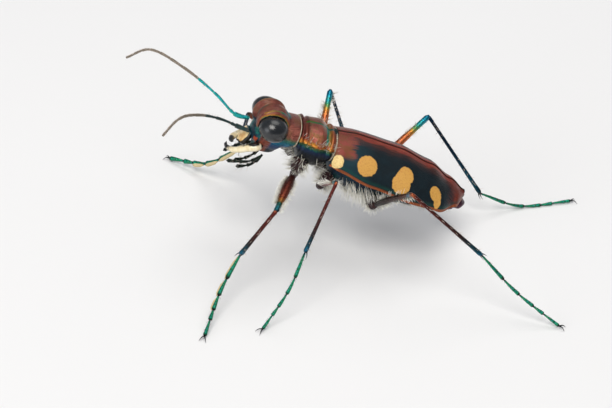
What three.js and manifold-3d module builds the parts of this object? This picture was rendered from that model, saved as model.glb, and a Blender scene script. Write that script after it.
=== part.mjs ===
// A tiger beetle at life size, standing still on six long legs with its head end raised.
// Millimetres, +Z up, head towards +X, the beetle's left towards +Y. The feet stand on z = 0,
// and the origin is under the middle of the box that holds the whole animal.
//
// The body is drawn in its own level frame, whose origin is between the wing cases' front ends,
// and is then pitched up, rolled and raised. The legs are drawn straight in the standing frame.
import * as THREE from "three";
import { mergeVertices } from "three/addons/utils/BufferGeometryUtils.js";
import Module from "manifold-3d";

const wasm = await Module();
wasm.setup();

// Driving sizes
const bodyPitch = THREE.MathUtils.degToRad(17.4);
const bodyRoll = THREE.MathUtils.degToRad(6);
const wingCaseBaseHeight = 8.27;
const gap = 0.25;
const wingCaseLength = 10.3;
const wingCaseThickness = 0.5;

// Materials, by the part of the animal
const finish = (color, roughness, metalness) =>
  new THREE.MeshStandardMaterial({ color, roughness, metalness });
const copper = finish(0x8a4632, 0.38, 0.6);
const blueBlack = finish(0x16303c, 0.4, 0.6);
const darkBlue = finish(0x12304a, 0.35, 0.65);
const eyeGrey = finish(0x2a2c2e, 0.15, 0.1);
const ivory = finish(0xe8d3a0, 0.45, 0.0);
const mouthBlack = finish(0x141414, 0.35, 0.2);
const teal = finish(0x1c8c8e, 0.3, 0.7);
const dullGrey = finish(0x6d675b, 0.8, 0.0);
const legBrown = finish(0x5a2d28, 0.4, 0.5);
const footGreen = finish(0x1d7a55, 0.3, 0.7);

// A value that runs smoothly through [position, value] pairs.
function through(keys, at) {
  let i = 0;
  while (i < keys.length - 2 && at > keys[i + 1][0]) i++;
  const [a, from] = keys[i];
  const [b, to] = keys[i + 1];
  const share = THREE.MathUtils.clamp((at - a) / (b - a), 0, 1);
  return THREE.MathUtils.lerp(from, to, (1 - Math.cos(Math.PI * share)) / 2);
}

// Triangles as an outward-facing indexed geometry.
function surface(points, triangles) {
  let volume = 0;
  for (const [a, b, c] of triangles)
    volume += points[a].dot(new THREE.Vector3().crossVectors(points[b], points[c]));
  const facing = volume < 0 ? triangles.map(([a, b, c]) => [a, c, b]) : triangles;
  const geometry = new THREE.BufferGeometry().setFromPoints(points);
  geometry.setIndex(facing.flat());
  return geometry;
}

// A closed skin over rings of points, with a fan over each end.
function skin(rings) {
  const sides = rings[0].length;
  const points = rings.flat();
  const triangles = [];
  for (let r = 0; r < rings.length - 1; r++)
    for (let i = 0; i < sides; i++) {
      const j = (i + 1) % sides;
      const [a, b] = [r * sides + i, r * sides + j];
      triangles.push([a, b, b + sides], [a, b + sides, a + sides]);
    }
  for (const [ring, turn] of [[0, 1], [rings.length - 1, 0]]) {
    const centre = points.length;
    const middle = new THREE.Vector3();
    rings[ring].forEach((p) => middle.addScaledVector(p, 1 / sides));
    points.push(middle);
    for (let i = 0; i < sides; i++) {
      const [a, b] = [ring * sides + i, ring * sides + ((i + 1) % sides)];
      triangles.push(turn ? [centre, b, a] : [centre, a, b]);
    }
  }
  return surface(points, triangles);
}

// An upright section across the body at x: half width w, and the heights of its top and bottom.
function crossSection({ x, w, top, bottom, power = 2.2, sides = 20, widest = 0.5 }) {
  const middle = bottom + (top - bottom) * widest;
  const bent = (value) => Math.sign(value) * Math.abs(value) ** (2 / power);
  return Array.from({ length: sides }, (_, i) => {
    const turn = ((i + 0.5) / sides) * 2 * Math.PI;
    const rise = bent(Math.sin(turn));
    const reach = rise > 0 ? top - middle : middle - bottom;
    return new THREE.Vector3(x, w * bent(Math.cos(turn)), middle + rise * reach);
  });
}

// A body length from x = from to x = to. Each shape value is a list of [x, value] pairs.
// grown makes the same form larger all round, for cutting a neighbour clear of it.
function bodyLength(form, grown = 0) {
  const { from, to, steps, power, sides, widest } = form;
  const ease = (i) => (1 - Math.cos((Math.PI * i) / steps)) / 2;
  const rings = Array.from({ length: steps + 1 }, (_, i) => {
    const share = form.evenly ? i / steps : ease(i);
    const x = THREE.MathUtils.lerp(from, to, share);
    const shape = {
      w: through(form.w, x) + grown,
      top: through(form.top, x) + grown,
      bottom: through(form.bottom, x) - grown,
    };
    const stretched = x + grown * Math.sign(to - from) * (2 * share - 1);
    return crossSection({ x: stretched, power, sides, widest, ...shape });
  });
  return skin(rings);
}

// A round limb along a curve. radii is a list of [share of the length, radius] pairs, one per ring.
function limb(curve, radii, sides = 8, flat = 1) {
  const stations = 200;
  const frames = curve.computeFrenetFrames(stations, false);
  const rings = radii.map(([share, radius]) => {
    const k = Math.round(share * stations);
    const centre = curve.getPointAt(k / stations);
    return Array.from({ length: sides }, (_, i) => {
      const turn = (i / sides) * 2 * Math.PI;
      return centre
        .clone()
        .addScaledVector(frames.normals[k], radius * flat * Math.cos(turn))
        .addScaledVector(frames.binormals[k], radius * Math.sin(turn));
    });
  });
  return skin(rings);
}

const line = (from, to) => new THREE.LineCurve3(from, to);
const bend = (...points) => new THREE.CatmullRomCurve3(points.map((p) => new THREE.Vector3(...p)));

// A ball or egg with its own half sizes.
function egg(centre, halves, around = 16, down = 10) {
  const geometry = new THREE.SphereGeometry(1, around, down);
  return geometry.scale(...halves).translate(...centre);
}

// manifold-3d joins and cuts.
function solid(geometry) {
  const bare = geometry.index ? geometry.clone() : geometry;
  bare.deleteAttribute("normal");
  bare.deleteAttribute("uv");
  const merged = mergeVertices(bare, 1e-3);
  return new wasm.Manifold(
    new wasm.Mesh({
      numProp: 3,
      vertProperties: new Float32Array(merged.attributes.position.array),
      triVerts: new Uint32Array(merged.index.array),
    }),
  );
}

const fusedSolids = (solids) => solids.reduce((all, one) => all.add(one));
const fused = (...geometries) => fusedSolids(geometries.map(solid));

// The largest closed surface of a solid, as a geometry.
function largest(made) {
  const [best] = made.decompose().sort((a, b) => b.volume() - a.volume());
  const mesh = best.getMesh();
  const points = Array.from({ length: mesh.numVert }, (_, i) => {
    const at = i * mesh.numProp;
    return new THREE.Vector3(...mesh.vertProperties.subarray(at, at + 3));
  });
  const triangles = Array.from({ length: mesh.triVerts.length / 3 }, (_, i) => [
    ...mesh.triVerts.subarray(3 * i, 3 * i + 3),
  ]);
  return surface(points, triangles);
}

// Groups: the whole animal, its body, and its head turned on the neck
const beetle = new THREE.Group();
const stance = new THREE.Group();
stance.position.z = wingCaseBaseHeight;
stance.rotation.set(bodyRoll, -bodyPitch, 0, "YXZ");
beetle.add(stance);
const neck = new THREE.Vector3(2.9, 0, 0);
const headTurn = new THREE.Group();
headTurn.position.copy(neck);
headTurn.rotation.set(THREE.MathUtils.degToRad(1.5), 0, THREE.MathUtils.degToRad(5));
stance.add(headTurn);
const headFrame = new THREE.Group();
headFrame.position.copy(neck).negate();
headTurn.add(headFrame);
beetle.updateMatrixWorld(true);

function put(group, name, geometry, material) {
  const mesh = new THREE.Mesh(geometry, material);
  mesh.name = name;
  group.add(mesh);
  return mesh;
}

// Head: a deep capsule behind a sloping face, with a raised plate over each eye
const head = {
  from: 3.1,
  to: 5.9,
  steps: 11,
  sides: 20,
  power: 2.3,
  w: [[3.1, 1.05], [3.5, 1.15], [4.2, 1.25], [5.0, 1.22], [5.6, 1.0], [5.95, 0.62]],
  top: [[3.1, 1.0], [3.7, 1.03], [4.5, 0.92], [5.1, 0.62], [5.6, 0.0], [5.95, -0.62]],
  bottom: [[3.1, -0.75], [3.5, -1.2], [4.1, -1.7], [5.0, -1.6], [5.95, -1.2]],
};
const eye = { centre: [4.88, 1.44, 0.24], halves: [1.05, 0.92, 1.04] };
const browPlate = { centre: [4.85, 0.76, 0.47], halves: [1.1, 0.42, 1.04] };
const mouthBase = { centre: [4.6, 0, -1.55], halves: [0.95, 0.8, 0.5] };
const mirrored = ([x, y, z], side) => [x, y * side, z];

const headWhole = (grown) => {
  const egged = ({ centre, halves }, side = 1) =>
    egg(mirrored(centre, side), halves.map((half) => half + grown), 18, 12);
  return fused(bodyLength(head, grown), egged(mouthBase), egged(browPlate), egged(browPlate, -1));
};
const headGrown = headWhole(gap);
put(headFrame, "head", largest(headWhole(0)), copper);
for (const [name, side] of [["left_eye", 1], ["right_eye", -1]]) {
  const ball = solid(egg(mirrored(eye.centre, side), eye.halves, 22, 16));
  put(headFrame, name, largest(ball.subtract(headGrown)), eyeGrey);
}

// Upper lip: a pale plate below the face, with three blunt teeth on its edge
const lip = {
  width: 1.35,
  rootWidth: 0.9,
  length: 1.0,
  thickness: 0.5,
  tooth: 0.2,
  slope: 54,
  root: [6.04, -0.06, -0.86],
};
function upperLip(grown = 0) {
  const half = lip.width / 2 + grown;
  const outline = new THREE.Shape();
  outline.moveTo(-lip.rootWidth / 2 - grown, -grown);
  outline.lineTo(lip.rootWidth / 2 + grown, -grown);
  outline.lineTo(half, lip.length * 0.35);
  outline.lineTo(half * 0.85, lip.length * 0.75 + grown);
  for (let i = 0; i < 3; i++) {
    const y = half * (0.6 - 0.6 * i);
    outline.lineTo(y, lip.length + lip.tooth * (i === 1 ? 1.2 : 0.6) + grown);
    if (i < 2) outline.lineTo(y - half * 0.3, lip.length * 0.85 + grown);
  }
  outline.lineTo(-half * 0.85, lip.length * 0.75 + grown);
  outline.lineTo(-half, lip.length * 0.35);
  outline.closePath();
  const depth = lip.thickness + 2 * grown;
  const plate = new THREE.ExtrudeGeometry(outline, { depth, bevelEnabled: false });
  plate.translate(0, 0, -lip.thickness - grown);
  plate.rotateZ(-Math.PI / 2);
  plate.rotateY(THREE.MathUtils.degToRad(lip.slope));
  return plate.translate(...lip.root);
}
put(headFrame, "upper_lip", largest(solid(upperLip()).subtract(headGrown)), ivory);

// Jaws: crossed sickles with inner teeth. The right one passes above the left one.
function jaw(side, lift) {
  const path = bend(
    [5.1, side * 1.0, -1.35],
    [5.95, side * 1.0, -1.75],
    [6.65, side * 0.5, -2.1 + lift * 0.7],
    [6.95, side * -0.3, -2.2 + lift],
  );
  const sickle = limb(path, [[0, 0.36], [0.25, 0.34], [0.55, 0.27], [0.8, 0.24], [1, 0.07]], 10);
  const teeth = [0.42, 0.62].map((share) => {
    const root = path.getPointAt(share);
    const tip = root.clone().add(new THREE.Vector3(0.12, -side * 0.6, 0.02));
    return limb(line(root, tip), [[0, 0.22], [1, 0.05]], 6);
  });
  return fused(sickle, ...teeth);
}
const headAndLipGrown = headGrown.add(solid(upperLip(gap)));
put(headFrame, "left_jaw", largest(jaw(1, -0.35).subtract(headAndLipGrown)), ivory);
put(headFrame, "right_jaw", largest(jaw(-1, 0.4).subtract(headAndLipGrown)), ivory);

// Palps: two jointed feelers under each side of the mouth
const palpRadii = [
  [0, 0.25], [0.3, 0.26], [0.34, 0.22], [0.62, 0.26], [0.66, 0.22], [0.96, 0.27], [1, 0.2],
];
const palpPaths = {
  outer: [[4.75, 0.98, -2.1], [5.35, 1.2, -2.45], [6.1, 1.05, -2.85], [6.85, 0.65, -3.2]],
  inner: [[4.5, 0.42, -2.35], [4.8, 0.5, -2.85], [5.3, 0.48, -3.3], [5.95, 0.42, -3.6]],
};
for (const [word, side] of [["left", 1], ["right", -1]]) {
  for (const [part, points] of Object.entries(palpPaths)) {
    const path = bend(...points.map((point) => mirrored(point, side)));
    put(headFrame, `${word}_${part}_palp`, limb(path, palpRadii, 8), mouthBlack);
  }
}

// Antennae: eleven segments along one curve each. The first four are bare, the rest felted.
const antennaSegments = [1.25, 0.38, 1.7, 1.5, 1.4, 1.1, 0.85, 0.8, 0.65, 0.6, 0.75];
const antennaLength = antennaSegments.reduce((sum, one) => sum + one);
const antennaPaths = {
  left: [
    [6.12, 0.95, -0.54], [6.8, 0.6, -0.66], [8.12, 0.76, -0.42],
    [10.32, 2.47, 0.27], [12.0, 4.55, 0.6], [12.56, 4.7, -0.84],
  ],
  right: [
    [6.0, -0.82, -0.54], [7.1, -0.65, -0.45], [8.66, -1.4, 0.17],
    [11.18, -2.7, 0.73], [13.6, -4.0, 0.62], [14.8, -4.4, -0.73],
  ],
};
const stemRadii = [[0, 0.26], [0.3, 0.27], [1, 0.25]];
const segmentNodes = { scape: [0, 1], shaft: [1, 4], lash: [4, 11] };
const lengthBefore = (segment) => antennaSegments.slice(0, segment).reduce((sum, one) => sum + one, 0);
function antennaStretch(path, [first, last]) {
  const share = (segment) => lengthBefore(segment) / antennaLength;
  const pulled = first ? gap / antennaLength : 0;
  const radii = [];
  for (let s = first; s < last; s++) {
    const thick = s < 4 ? 0.25 : THREE.MathUtils.lerp(0.25, 0.17, (s - 4) / 7);
    const start = share(s) + (s === first ? pulled : 0.001);
    const end = share(s + 1);
    const widest = THREE.MathUtils.lerp(start, end, 0.8);
    radii.push([start, thick * 0.82], [widest, thick], [end - 0.004, thick * 0.95]);
  }
  const stem = stemRadii.map(([at, radius]) => [at * share(1), radius]);
  return limb(path, first ? radii : stem);
}
for (const [word, points] of Object.entries(antennaPaths)) {
  const path = bend(...points);
  path.arcLengthDivisions = 400;
  for (const [part, range] of Object.entries(segmentNodes)) {
    put(stance, word + "_antenna_" + part, antennaStretch(path, range), part === "lash" ? dullGrey : teal);
  }
}

// Forebody: the squarish shield behind the head, with a groove near each end
const forebody = {
  from: 0.55,
  to: 2.75,
  steps: 12,
  sides: 20,
  power: 2.5,
  widest: 0.55,
  evenly: true,
  w: [
    [0.55, 1.5], [0.8, 1.6], [1.0, 1.5], [1.55, 1.72], [2.2, 1.6], [2.4, 1.46], [2.6, 1.52], [2.75, 1.45],
  ],
  top: [
    [0.55, 0.88], [0.8, 0.95], [1.0, 0.84], [1.55, 1.1], [2.15, 1.06], [2.4, 0.92], [2.6, 1.06], [2.75, 1.0],
  ],
  bottom: [[0.55, -1.3], [1.3, -1.85], [2.1, -1.7], [2.75, -0.95]],
};
put(stance, "forebody", bodyLength(forebody), copper);

// Wing cases: two arched shells that meet along the back
const caseForm = {
  w: [[0, 2.0], [0.06, 2.3], [0.3, 2.6], [0.6, 2.8], [0.8, 2.4], [0.93, 1.4], [1, 0.35]],
  top: [[0, 0.9], [0.15, 1.08], [0.45, 1.0], [0.7, 0.55], [0.87, -0.1], [1, -0.65]],
  margin: [[0, -0.6], [0.3, -0.75], [0.6, -0.85], [0.83, -1.15], [1, -1.05]],
  curve: 1.75,
};
const caseSteps = { along: 18, across: 8 };
// A point of a wing case: u runs from its front end to its tip, v from the middle of the back to
// its outer edge, and depth goes inwards from its outer face.
function wingCasePoint(u, v, side, depth, seam, drop) {
  const keys = [caseForm.w, caseForm.top, caseForm.margin];
  const [w, top, margin] = keys.map((pairs) => through(pairs, u));
  const turn = (v * Math.PI) / 2;
  const across = Math.sin(turn) ** (2 / caseForm.curve);
  const rise = Math.max(0, Math.cos(turn)) ** (2 / caseForm.curve);
  const shoulder = 0.35 * (1 - Math.min(1, Math.max(0, u))) ** 14 * v ** 2;
  return new THREE.Vector3(
    -(wingCaseLength - depth) * u - shoulder,
    side * (seam + Math.max(0.02, w - depth - seam) * across),
    margin - drop + (top - margin + drop - depth) * rise,
  );
}
// A wing case. With its outer face moved out and its inner face moved in, it clears its neighbours.
function wingCase(side, outwards = 0, inwards = 0) {
  const { along, across } = caseSteps;
  const overrun = inwards / wingCaseLength;
  const rings = Array.from({ length: along + 1 }, (_, i) => {
    const u = THREE.MathUtils.lerp(-overrun, 1 + overrun, i / along);
    const arch = through(caseForm.top, u) - through(caseForm.margin, u);
    const deep = Math.min(wingCaseThickness, 0.45 * arch + 0.1);
    const seam = gap / 2 - outwards;
    const edge = (j, depth) => wingCasePoint(u, j / across, side, depth, seam, inwards);
    const outer = Array.from({ length: across + 1 }, (_, j) => edge(j, -outwards));
    const inner = Array.from({ length: across + 1 }, (_, j) => edge(across - j, deep + inwards));
    return [...outer, ...inner];
  });
  return skinShell(rings);
}
// A shell's two end faces are strips between its outer and inner edges, so that no fan crosses its hollow.
function skinShell(rings) {
  const sides = rings[0].length;
  const points = rings.flat();
  const triangles = [];
  for (let r = 0; r < rings.length - 1; r++)
    for (let i = 0; i < sides; i++) {
      const j = (i + 1) % sides;
      const [a, b] = [r * sides + i, r * sides + j];
      triangles.push([a, b, b + sides], [a, b + sides, a + sides]);
    }
  for (const [ring, turn] of [[0, 1], [rings.length - 1, 0]])
    for (let j = 0; j < sides / 2 - 1; j++) {
      const [a, b] = [ring * sides + j, ring * sides + j + 1];
      const [c, d] = [ring * sides + sides - 2 - j, ring * sides + sides - 1 - j];
      triangles.push(...(turn ? [[a, c, b], [a, d, c]] : [[a, b, c], [a, c, d]]));
    }
  return surface(points, triangles);
}

// Hindbody: the chest under the wing cases, with the small triangular shield between their front ends
const chest = {
  from: -4.5,
  to: 0.35,
  steps: 9,
  sides: 18,
  power: 2.3,
  widest: 0.62,
  w: [[-4.5, 2.0], [-2.5, 2.1], [-0.6, 1.75], [0.35, 1.05]],
  top: [[-4.5, 0.3], [-0.6, 0.32], [0.35, 0.25]],
  bottom: [[-4.5, -2.75], [-2.8, -2.95], [-0.9, -2.5], [0.35, -1.2]],
};
const shield = { front: 0.3, length: 0.95, halfWidth: 0.5, height: 0.95 };
function smallShield(grown = 0) {
  const outline = new THREE.Shape();
  const half = shield.halfWidth + 1.6 * grown;
  outline.moveTo(shield.front + grown, half);
  outline.lineTo(shield.front + grown, -half);
  outline.lineTo(shield.front - shield.length - 2.5 * grown, 0);
  outline.closePath();
  const plate = new THREE.ExtrudeGeometry(outline, { depth: shield.height + grown, bevelEnabled: false });
  return plate.translate(0, 0, 0.02);
}
const cutShield = solid(smallShield(gap));
const underWingCases = (form) =>
  [1, -1].reduce((left, side) => left.subtract(solid(wingCase(side, 0.8, gap))), form);
const chestUnder = underWingCases(solid(bodyLength(chest)));
put(stance, "chest", largest(chestUnder.add(solid(smallShield()))), darkBlue);
for (const [name, side] of [["left_wing_case", 1], ["right_wing_case", -1]])
  put(stance, name, largest(solid(wingCase(side)).subtract(cutShield)), blueBlack);

// Abdomen: five overlapping belly plates and the tip that shows behind the wing cases
const belly = {
  from: -10.75,
  to: -4.7,
  sides: 18,
  power: 2.2,
  widest: 0.66,
  plates: 5,
  w: [[-10.75, 0.42], [-10.2, 0.75], [-9.3, 1.35], [-7.6, 1.95], [-4.7, 2.02]],
  top: [[-10.75, -1.32], [-10.2, -1.15], [-9.2, -0.55], [-7.6, 0.05], [-4.7, 0.3]],
  bottom: [[-10.75, -1.75], [-10.2, -1.95], [-8.5, -2.35], [-4.7, -2.75]],
};
function abdomen() {
  const rings = [];
  const plate = (belly.to - belly.from) / belly.plates;
  for (let i = 0; i < belly.plates; i++)
    for (const [share, lift] of [[0.02, 0], [0.5, 0.03], [0.98, 0.1]]) {
      const x = belly.to - plate * (i + share);
      rings.push(
        crossSection({
          x,
          w: through(belly.w, x),
          top: through(belly.top, x),
          bottom: through(belly.bottom, x) - lift,
          power: belly.power,
          sides: belly.sides,
          widest: belly.widest,
        }),
      );
    }
  return skin(rings);
}
put(stance, "abdomen", largest(underWingCases(solid(abdomen()))), darkBlue);

// Legs: the sizes of each pair, and how each leg is held
// An aim is [degrees from straight ahead towards the leg's own side, degrees above level], and bow
// is how far the middle of the foot stands off the straight line from ankle to toe.
// femur, tibia and tarsus are lengths, and coxa, thigh and foot are the pieces' widest radii.
const pairs = {
  front: {
    ...{ socket: [1.85, 0.95, -1.5], hip: [2.05, 1.4, -2.45] },
    ...{ femur: 4.35, tibia: 4.0, tarsus: 6.35, coxa: 0.62, thigh: 0.42, foot: 0.29 },
  },
  middle: {
    ...{ socket: [-0.7, 0.85, -2.1], hip: [0.0, 1.5, -2.7] },
    ...{ femur: 5.2, tibia: 5.2, tarsus: 6.0, coxa: 0.6, thigh: 0.3, foot: 0.25 },
  },
  hind: {
    ...{ socket: [-4.0, 0.7, -2.5], hip: [-3.95, 2.0, -2.75] },
    ...{ femur: 6.35, tibia: 7.0, tarsus: 7.5, coxa: 0.6, thigh: 0.28, foot: 0.25 },
  },
};
const held = {
  left_front: { femur: [71, -2], tibia: [21, -54], tarsus: 65, bow: [0.25, 0, 0] },
  left_middle: { femur: [98, 40], tibia: [54, -52], tarsus: 43, bow: [-0.25, 0, -0.2] },
  left_hind: { femur: [114, 43.5], tibia: [173, -40], tarsus: 161, bow: [0, 0, -0.4] },
  right_front: { femur: [47, 12], tibia: [68, -76], tarsus: 32, bow: [0, 0, -0.9] },
  right_middle: { femur: [104, 48], tibia: [146, -68], tarsus: 110, bow: [0, 0, -0.5] },
  right_hind: { femur: [141, 26], tibia: [-155, -48], tarsus: 166, bow: [0, 0, -0.85] },
};
const ballRadius = 0.36;
const tarsusShares = [0.32, 0.21, 0.17, 0.12, 0.18];
const footHeight = 0.16;
const floorDepth = 3;

function aim([away, above], side) {
  const [a, e] = [THREE.MathUtils.degToRad(away), THREE.MathUtils.degToRad(above)];
  return new THREE.Vector3(Math.cos(a) * Math.cos(e), side * Math.sin(a) * Math.cos(e), Math.sin(e));
}

// Thigh: a long spindle that narrows to the knee. Each piece of a leg can be drawn grown all round,
// to cut the next piece clear of it.
function thigh(from, to, radius, grown = 0) {
  const radii = [
    [0, 0.24], [0.05, radius * 0.8], [0.25, radius], [0.55, radius * 0.85], [0.85, 0.27], [0.95, 0.27], [1, 0.17],
  ];
  const end = to.clone().add(to.clone().sub(from).setLength(grown));
  return solid(limb(line(from, end), radii.map(([at, r]) => [at, r + grown]), 10));
}

// Shin: a thin rod that widens at its end, with two spurs there on the side away from the foot
const shinRadii = [[0, 0.2], [0.04, 0.26], [0.5, 0.25], [0.9, 0.29], [0.97, 0.3], [1, 0.22]];
function shin(from, to, grown = 0) {
  const end = to.clone().add(to.clone().sub(from).setLength(grown));
  return solid(limb(line(from, end), shinRadii.map(([at, r]) => [at, r + grown]), 8));
}
function shinSpurs(from, to, footAim) {
  const along = to.clone().sub(from).normalize();
  const away = footAim.clone().addScaledVector(along, -footAim.dot(along)).negate().normalize();
  const beside = new THREE.Vector3().crossVectors(along, away);
  return [1, -1].map((s) => {
    const out = away.clone().addScaledVector(beside, s * 1.2).normalize();
    const root = to.clone().addScaledVector(along, -0.4).addScaledVector(out, 0.08);
    const tip = to.clone().addScaledVector(along, 0.25).addScaledVector(out, 0.5);
    return solid(limb(line(root, tip), [[0, 0.13], [1, 0.03]], 5));
  });
}

// Foot: five joints that each widen towards the next, a pad and two claws, flat under the pad
const floor = solid(new THREE.BoxGeometry(90, 90, floorDepth).translate(0, 0, -floorDepth / 2));
function foot(from, to, radius, bow) {
  const arch = from.clone().lerp(to, 0.45).add(new THREE.Vector3(...bow));
  const radii = [];
  let start = 0;
  tarsusShares.forEach((share, i) => {
    const last = i === tarsusShares.length - 1;
    const wide = last ? 0.2 : radius;
    radii.push([start + 0.005, wide * 0.72], [start + share * 0.82, wide]);
    radii.push([start + share - 0.005, wide * 0.86]);
    start += share;
  });
  const joints = limb(new THREE.CatmullRomCurve3([from, arch, to]), radii, 8);
  const ahead = to.clone().sub(from).setZ(0).normalize();
  const across = new THREE.Vector3(0, 0, 1).cross(ahead);
  const pad = egg([to.x, to.y, footHeight], [0.3, 0.3, 0.26], 12, 8);
  const claws = [1, -1].map((s) => {
    const out = to.clone().addScaledVector(ahead, 0.35).addScaledVector(across, s * 0.2);
    const tip = to.clone().addScaledVector(ahead, 0.55).addScaledVector(across, s * 0.34);
    const path = bend(to.toArray(), [out.x, out.y, footHeight + 0.12], [tip.x, tip.y, 0.06]);
    return limb(path, [[0, 0.14], [0.5, 0.11], [1, 0.04]], 6);
  });
  return fused(joints, pad, ...claws).subtract(floor);
}

const coxaRadii = (widest) => [[0, widest], [0.4, widest], [0.8, ballRadius * 0.95], [1, 0.25]];
const bodyGrown = [forebody, chest, belly].map((form) =>
  solid(bodyLength({ steps: 10, ...form }, gap)),
);
for (const [name, pose] of Object.entries(held)) {
  const side = name.startsWith("left") ? 1 : -1;
  const sizes = pairs[name.split("_")[1]];
  const root = new THREE.Vector3(...mirrored(sizes.socket, side));
  const hipInBody = new THREE.Vector3(...mirrored(sizes.hip, side));
  const coxa = fused(
    limb(line(root, hipInBody), coxaRadii(sizes.coxa), 10),
    egg(hipInBody.toArray(), [ballRadius, ballRadius, ballRadius], 10, 8),
  );
  const cut = bodyGrown.reduce((left, form) => left.subtract(form), coxa);
  put(stance, name + "_coxa", largest(cut), legBrown);

  const hip = stance.localToWorld(hipInBody.clone());
  const start = (joint, direction, clear) => joint.clone().addScaledVector(direction, clear + gap);
  const thighAim = aim(pose.femur, side);
  const knee = hip.clone().addScaledVector(thighAim, sizes.femur);
  const shinAim = aim(pose.tibia, side);
  const ankle = knee.clone().addScaledVector(shinAim, sizes.tibia);
  const fall = (footHeight + 0.04 - ankle.z) / sizes.tarsus;
  const drop = THREE.MathUtils.radToDeg(Math.asin(fall));
  const footAim = aim([pose.tarsus, drop], side);
  const toe = ankle.clone().addScaledVector(footAim, sizes.tarsus);

  const thighRoot = start(hip, thighAim, ballRadius);
  const thighCut = thigh(thighRoot, knee, sizes.thigh, gap);
  const shinCut = shin(knee, ankle, gap);
  const shinWhole = fusedSolids([shin(knee, ankle), ...shinSpurs(knee, ankle, footAim)]);
  const shinSolid = shinWhole.subtract(thighCut);
  put(beetle, name + "_thigh", largest(thigh(thighRoot, knee, sizes.thigh)), copper);
  put(beetle, name + "_shin", largest(shinSolid), legBrown);
  put(beetle, name + "_foot", largest(foot(ankle, toe, sizes.foot, pose.bow).subtract(shinCut)), footGreen);
}

// The origin goes under the middle of the whole animal.
const middle = new THREE.Box3().setFromObject(beetle).getCenter(new THREE.Vector3());
beetle.position.set(-middle.x, -middle.y, 0);

export default beetle;
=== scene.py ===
"""A tiger beetle at life size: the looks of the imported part, in metres, in the part's own frame."""

import math

import bpy
import numpy as np
from mathutils import Euler, Matrix, Vector


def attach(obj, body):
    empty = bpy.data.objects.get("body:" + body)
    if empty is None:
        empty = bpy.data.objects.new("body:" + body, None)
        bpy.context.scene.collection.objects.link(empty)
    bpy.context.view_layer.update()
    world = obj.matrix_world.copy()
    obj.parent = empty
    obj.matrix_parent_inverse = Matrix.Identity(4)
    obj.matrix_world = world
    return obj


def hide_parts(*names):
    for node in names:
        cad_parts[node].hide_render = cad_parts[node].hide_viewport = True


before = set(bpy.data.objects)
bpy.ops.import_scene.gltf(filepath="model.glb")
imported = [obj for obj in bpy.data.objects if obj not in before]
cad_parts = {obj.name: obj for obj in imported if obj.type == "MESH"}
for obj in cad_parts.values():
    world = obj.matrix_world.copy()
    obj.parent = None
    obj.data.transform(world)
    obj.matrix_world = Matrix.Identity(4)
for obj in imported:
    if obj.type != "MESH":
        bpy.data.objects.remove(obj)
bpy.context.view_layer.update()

# The stance: the beetle stands nose up on a pale table, leaning a little to its right.
# Body places are in millimetres in the body's level frame, head towards +X and left towards +Y,
# with the origin between the front ends of the wing cases.
body_pitch = math.radians(17.4)
body_roll = math.radians(6)
body_origin = np.array([2.355, -1.060, 8.27])
turn_body = np.array(Matrix.Rotation(-body_pitch, 3, "Y") @ Matrix.Rotation(body_roll, 3, "X"))
millimetre = 0.001


def stand(points):
    """Body places in millimetres, as places over the table in millimetres."""
    return np.asarray(points, float) @ turn_body.T + body_origin


# The camera, at the photograph's angle and distance, aimed so that the beetle sits right of the
# middle and high in the picture.
camera_up = Vector((0.0456, -0.5995, 0.7991))
camera_towards = Vector((0.1115, 0.7980, 0.5923))
camera_distance = 0.190
picture_centre = (-1.859, -4.256)
camera_right = camera_up.cross(camera_towards).normalized()
origin = Vector(body_origin) * millimetre
aim_at = origin + (camera_right * picture_centre[0] + camera_up * picture_centre[1]) * millimetre
camera_data = bpy.data.cameras.new("camera")
camera_data.sensor_width = 36
camera_data.lens = 161.4
camera_data.clip_start = 0.01
camera_data.clip_end = 20
camera = bpy.data.objects.new("camera", camera_data)
camera.location = origin + camera_towards * camera_distance
back = (camera.location - aim_at).normalized()
across = camera_up.cross(back).normalized()
facing = Matrix((across, back.cross(across), back)).transposed()
camera.matrix_world = Matrix.Translation(camera.location) @ facing.to_4x4()
bpy.context.collection.objects.link(camera)
bpy.context.scene.camera = camera


# The table and the light: a plain pale sheet and soft studio lamps.
def wire(tree, kind, inputs=(), out=0, **settings):
    """Adds a node, sets or joins its inputs, and returns one of its outputs."""
    node = tree.nodes.new("ShaderNode" + kind)
    for key, value in settings.items():
        setattr(node, key, value)
    for key, value in dict(inputs).items():
        if isinstance(value, bpy.types.NodeSocket):
            tree.links.new(value, node.inputs[key])
        else:
            node.inputs[key].default_value = value
    return node.outputs[out]


def new_material(name):
    """An empty material with its tree and its Principled shader."""
    material = bpy.data.materials.new(name)
    material.use_nodes = True
    tree = material.node_tree
    return material, tree, tree.nodes["Principled BSDF"]


def colour(text):
    """A colour from its six hexadecimal digits, as a shader takes it."""
    shares = [int(text[i : i + 2], 16) / 255 for i in (0, 2, 4)]
    return tuple(c / 12.92 if c <= 0.04045 else ((c + 0.055) / 1.055) ** 2.4 for c in shares) + (1.0,)


table_size = 3.0
table_material, tree, shader = new_material("table")
speck = wire(tree, "TexNoise", {"Scale": 60.0, "Detail": 4.0})
tone = wire(tree, "MapRange", {0: speck, 3: 0.80, 4: 0.83})
tree.links.new(wire(tree, "CombineColor", {0: tone, 1: tone, 2: tone}), shader.inputs["Base Color"])
shader.inputs["Roughness"].default_value = 0.75
bpy.ops.mesh.primitive_plane_add(size=table_size, location=(0, 0, 0))
table = bpy.context.object
table.name = "table"
table.data.materials.append(table_material)

world = bpy.data.worlds.new("studio")
bpy.context.scene.world = world
world.use_nodes = True
studio_air = world.node_tree.nodes["Background"]
studio_air.inputs["Color"].default_value = (0.85, 0.9, 1.0, 1)
studio_air.inputs["Strength"].default_value = 0.25
bpy.context.scene.view_settings.view_transform = "Standard"
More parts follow.
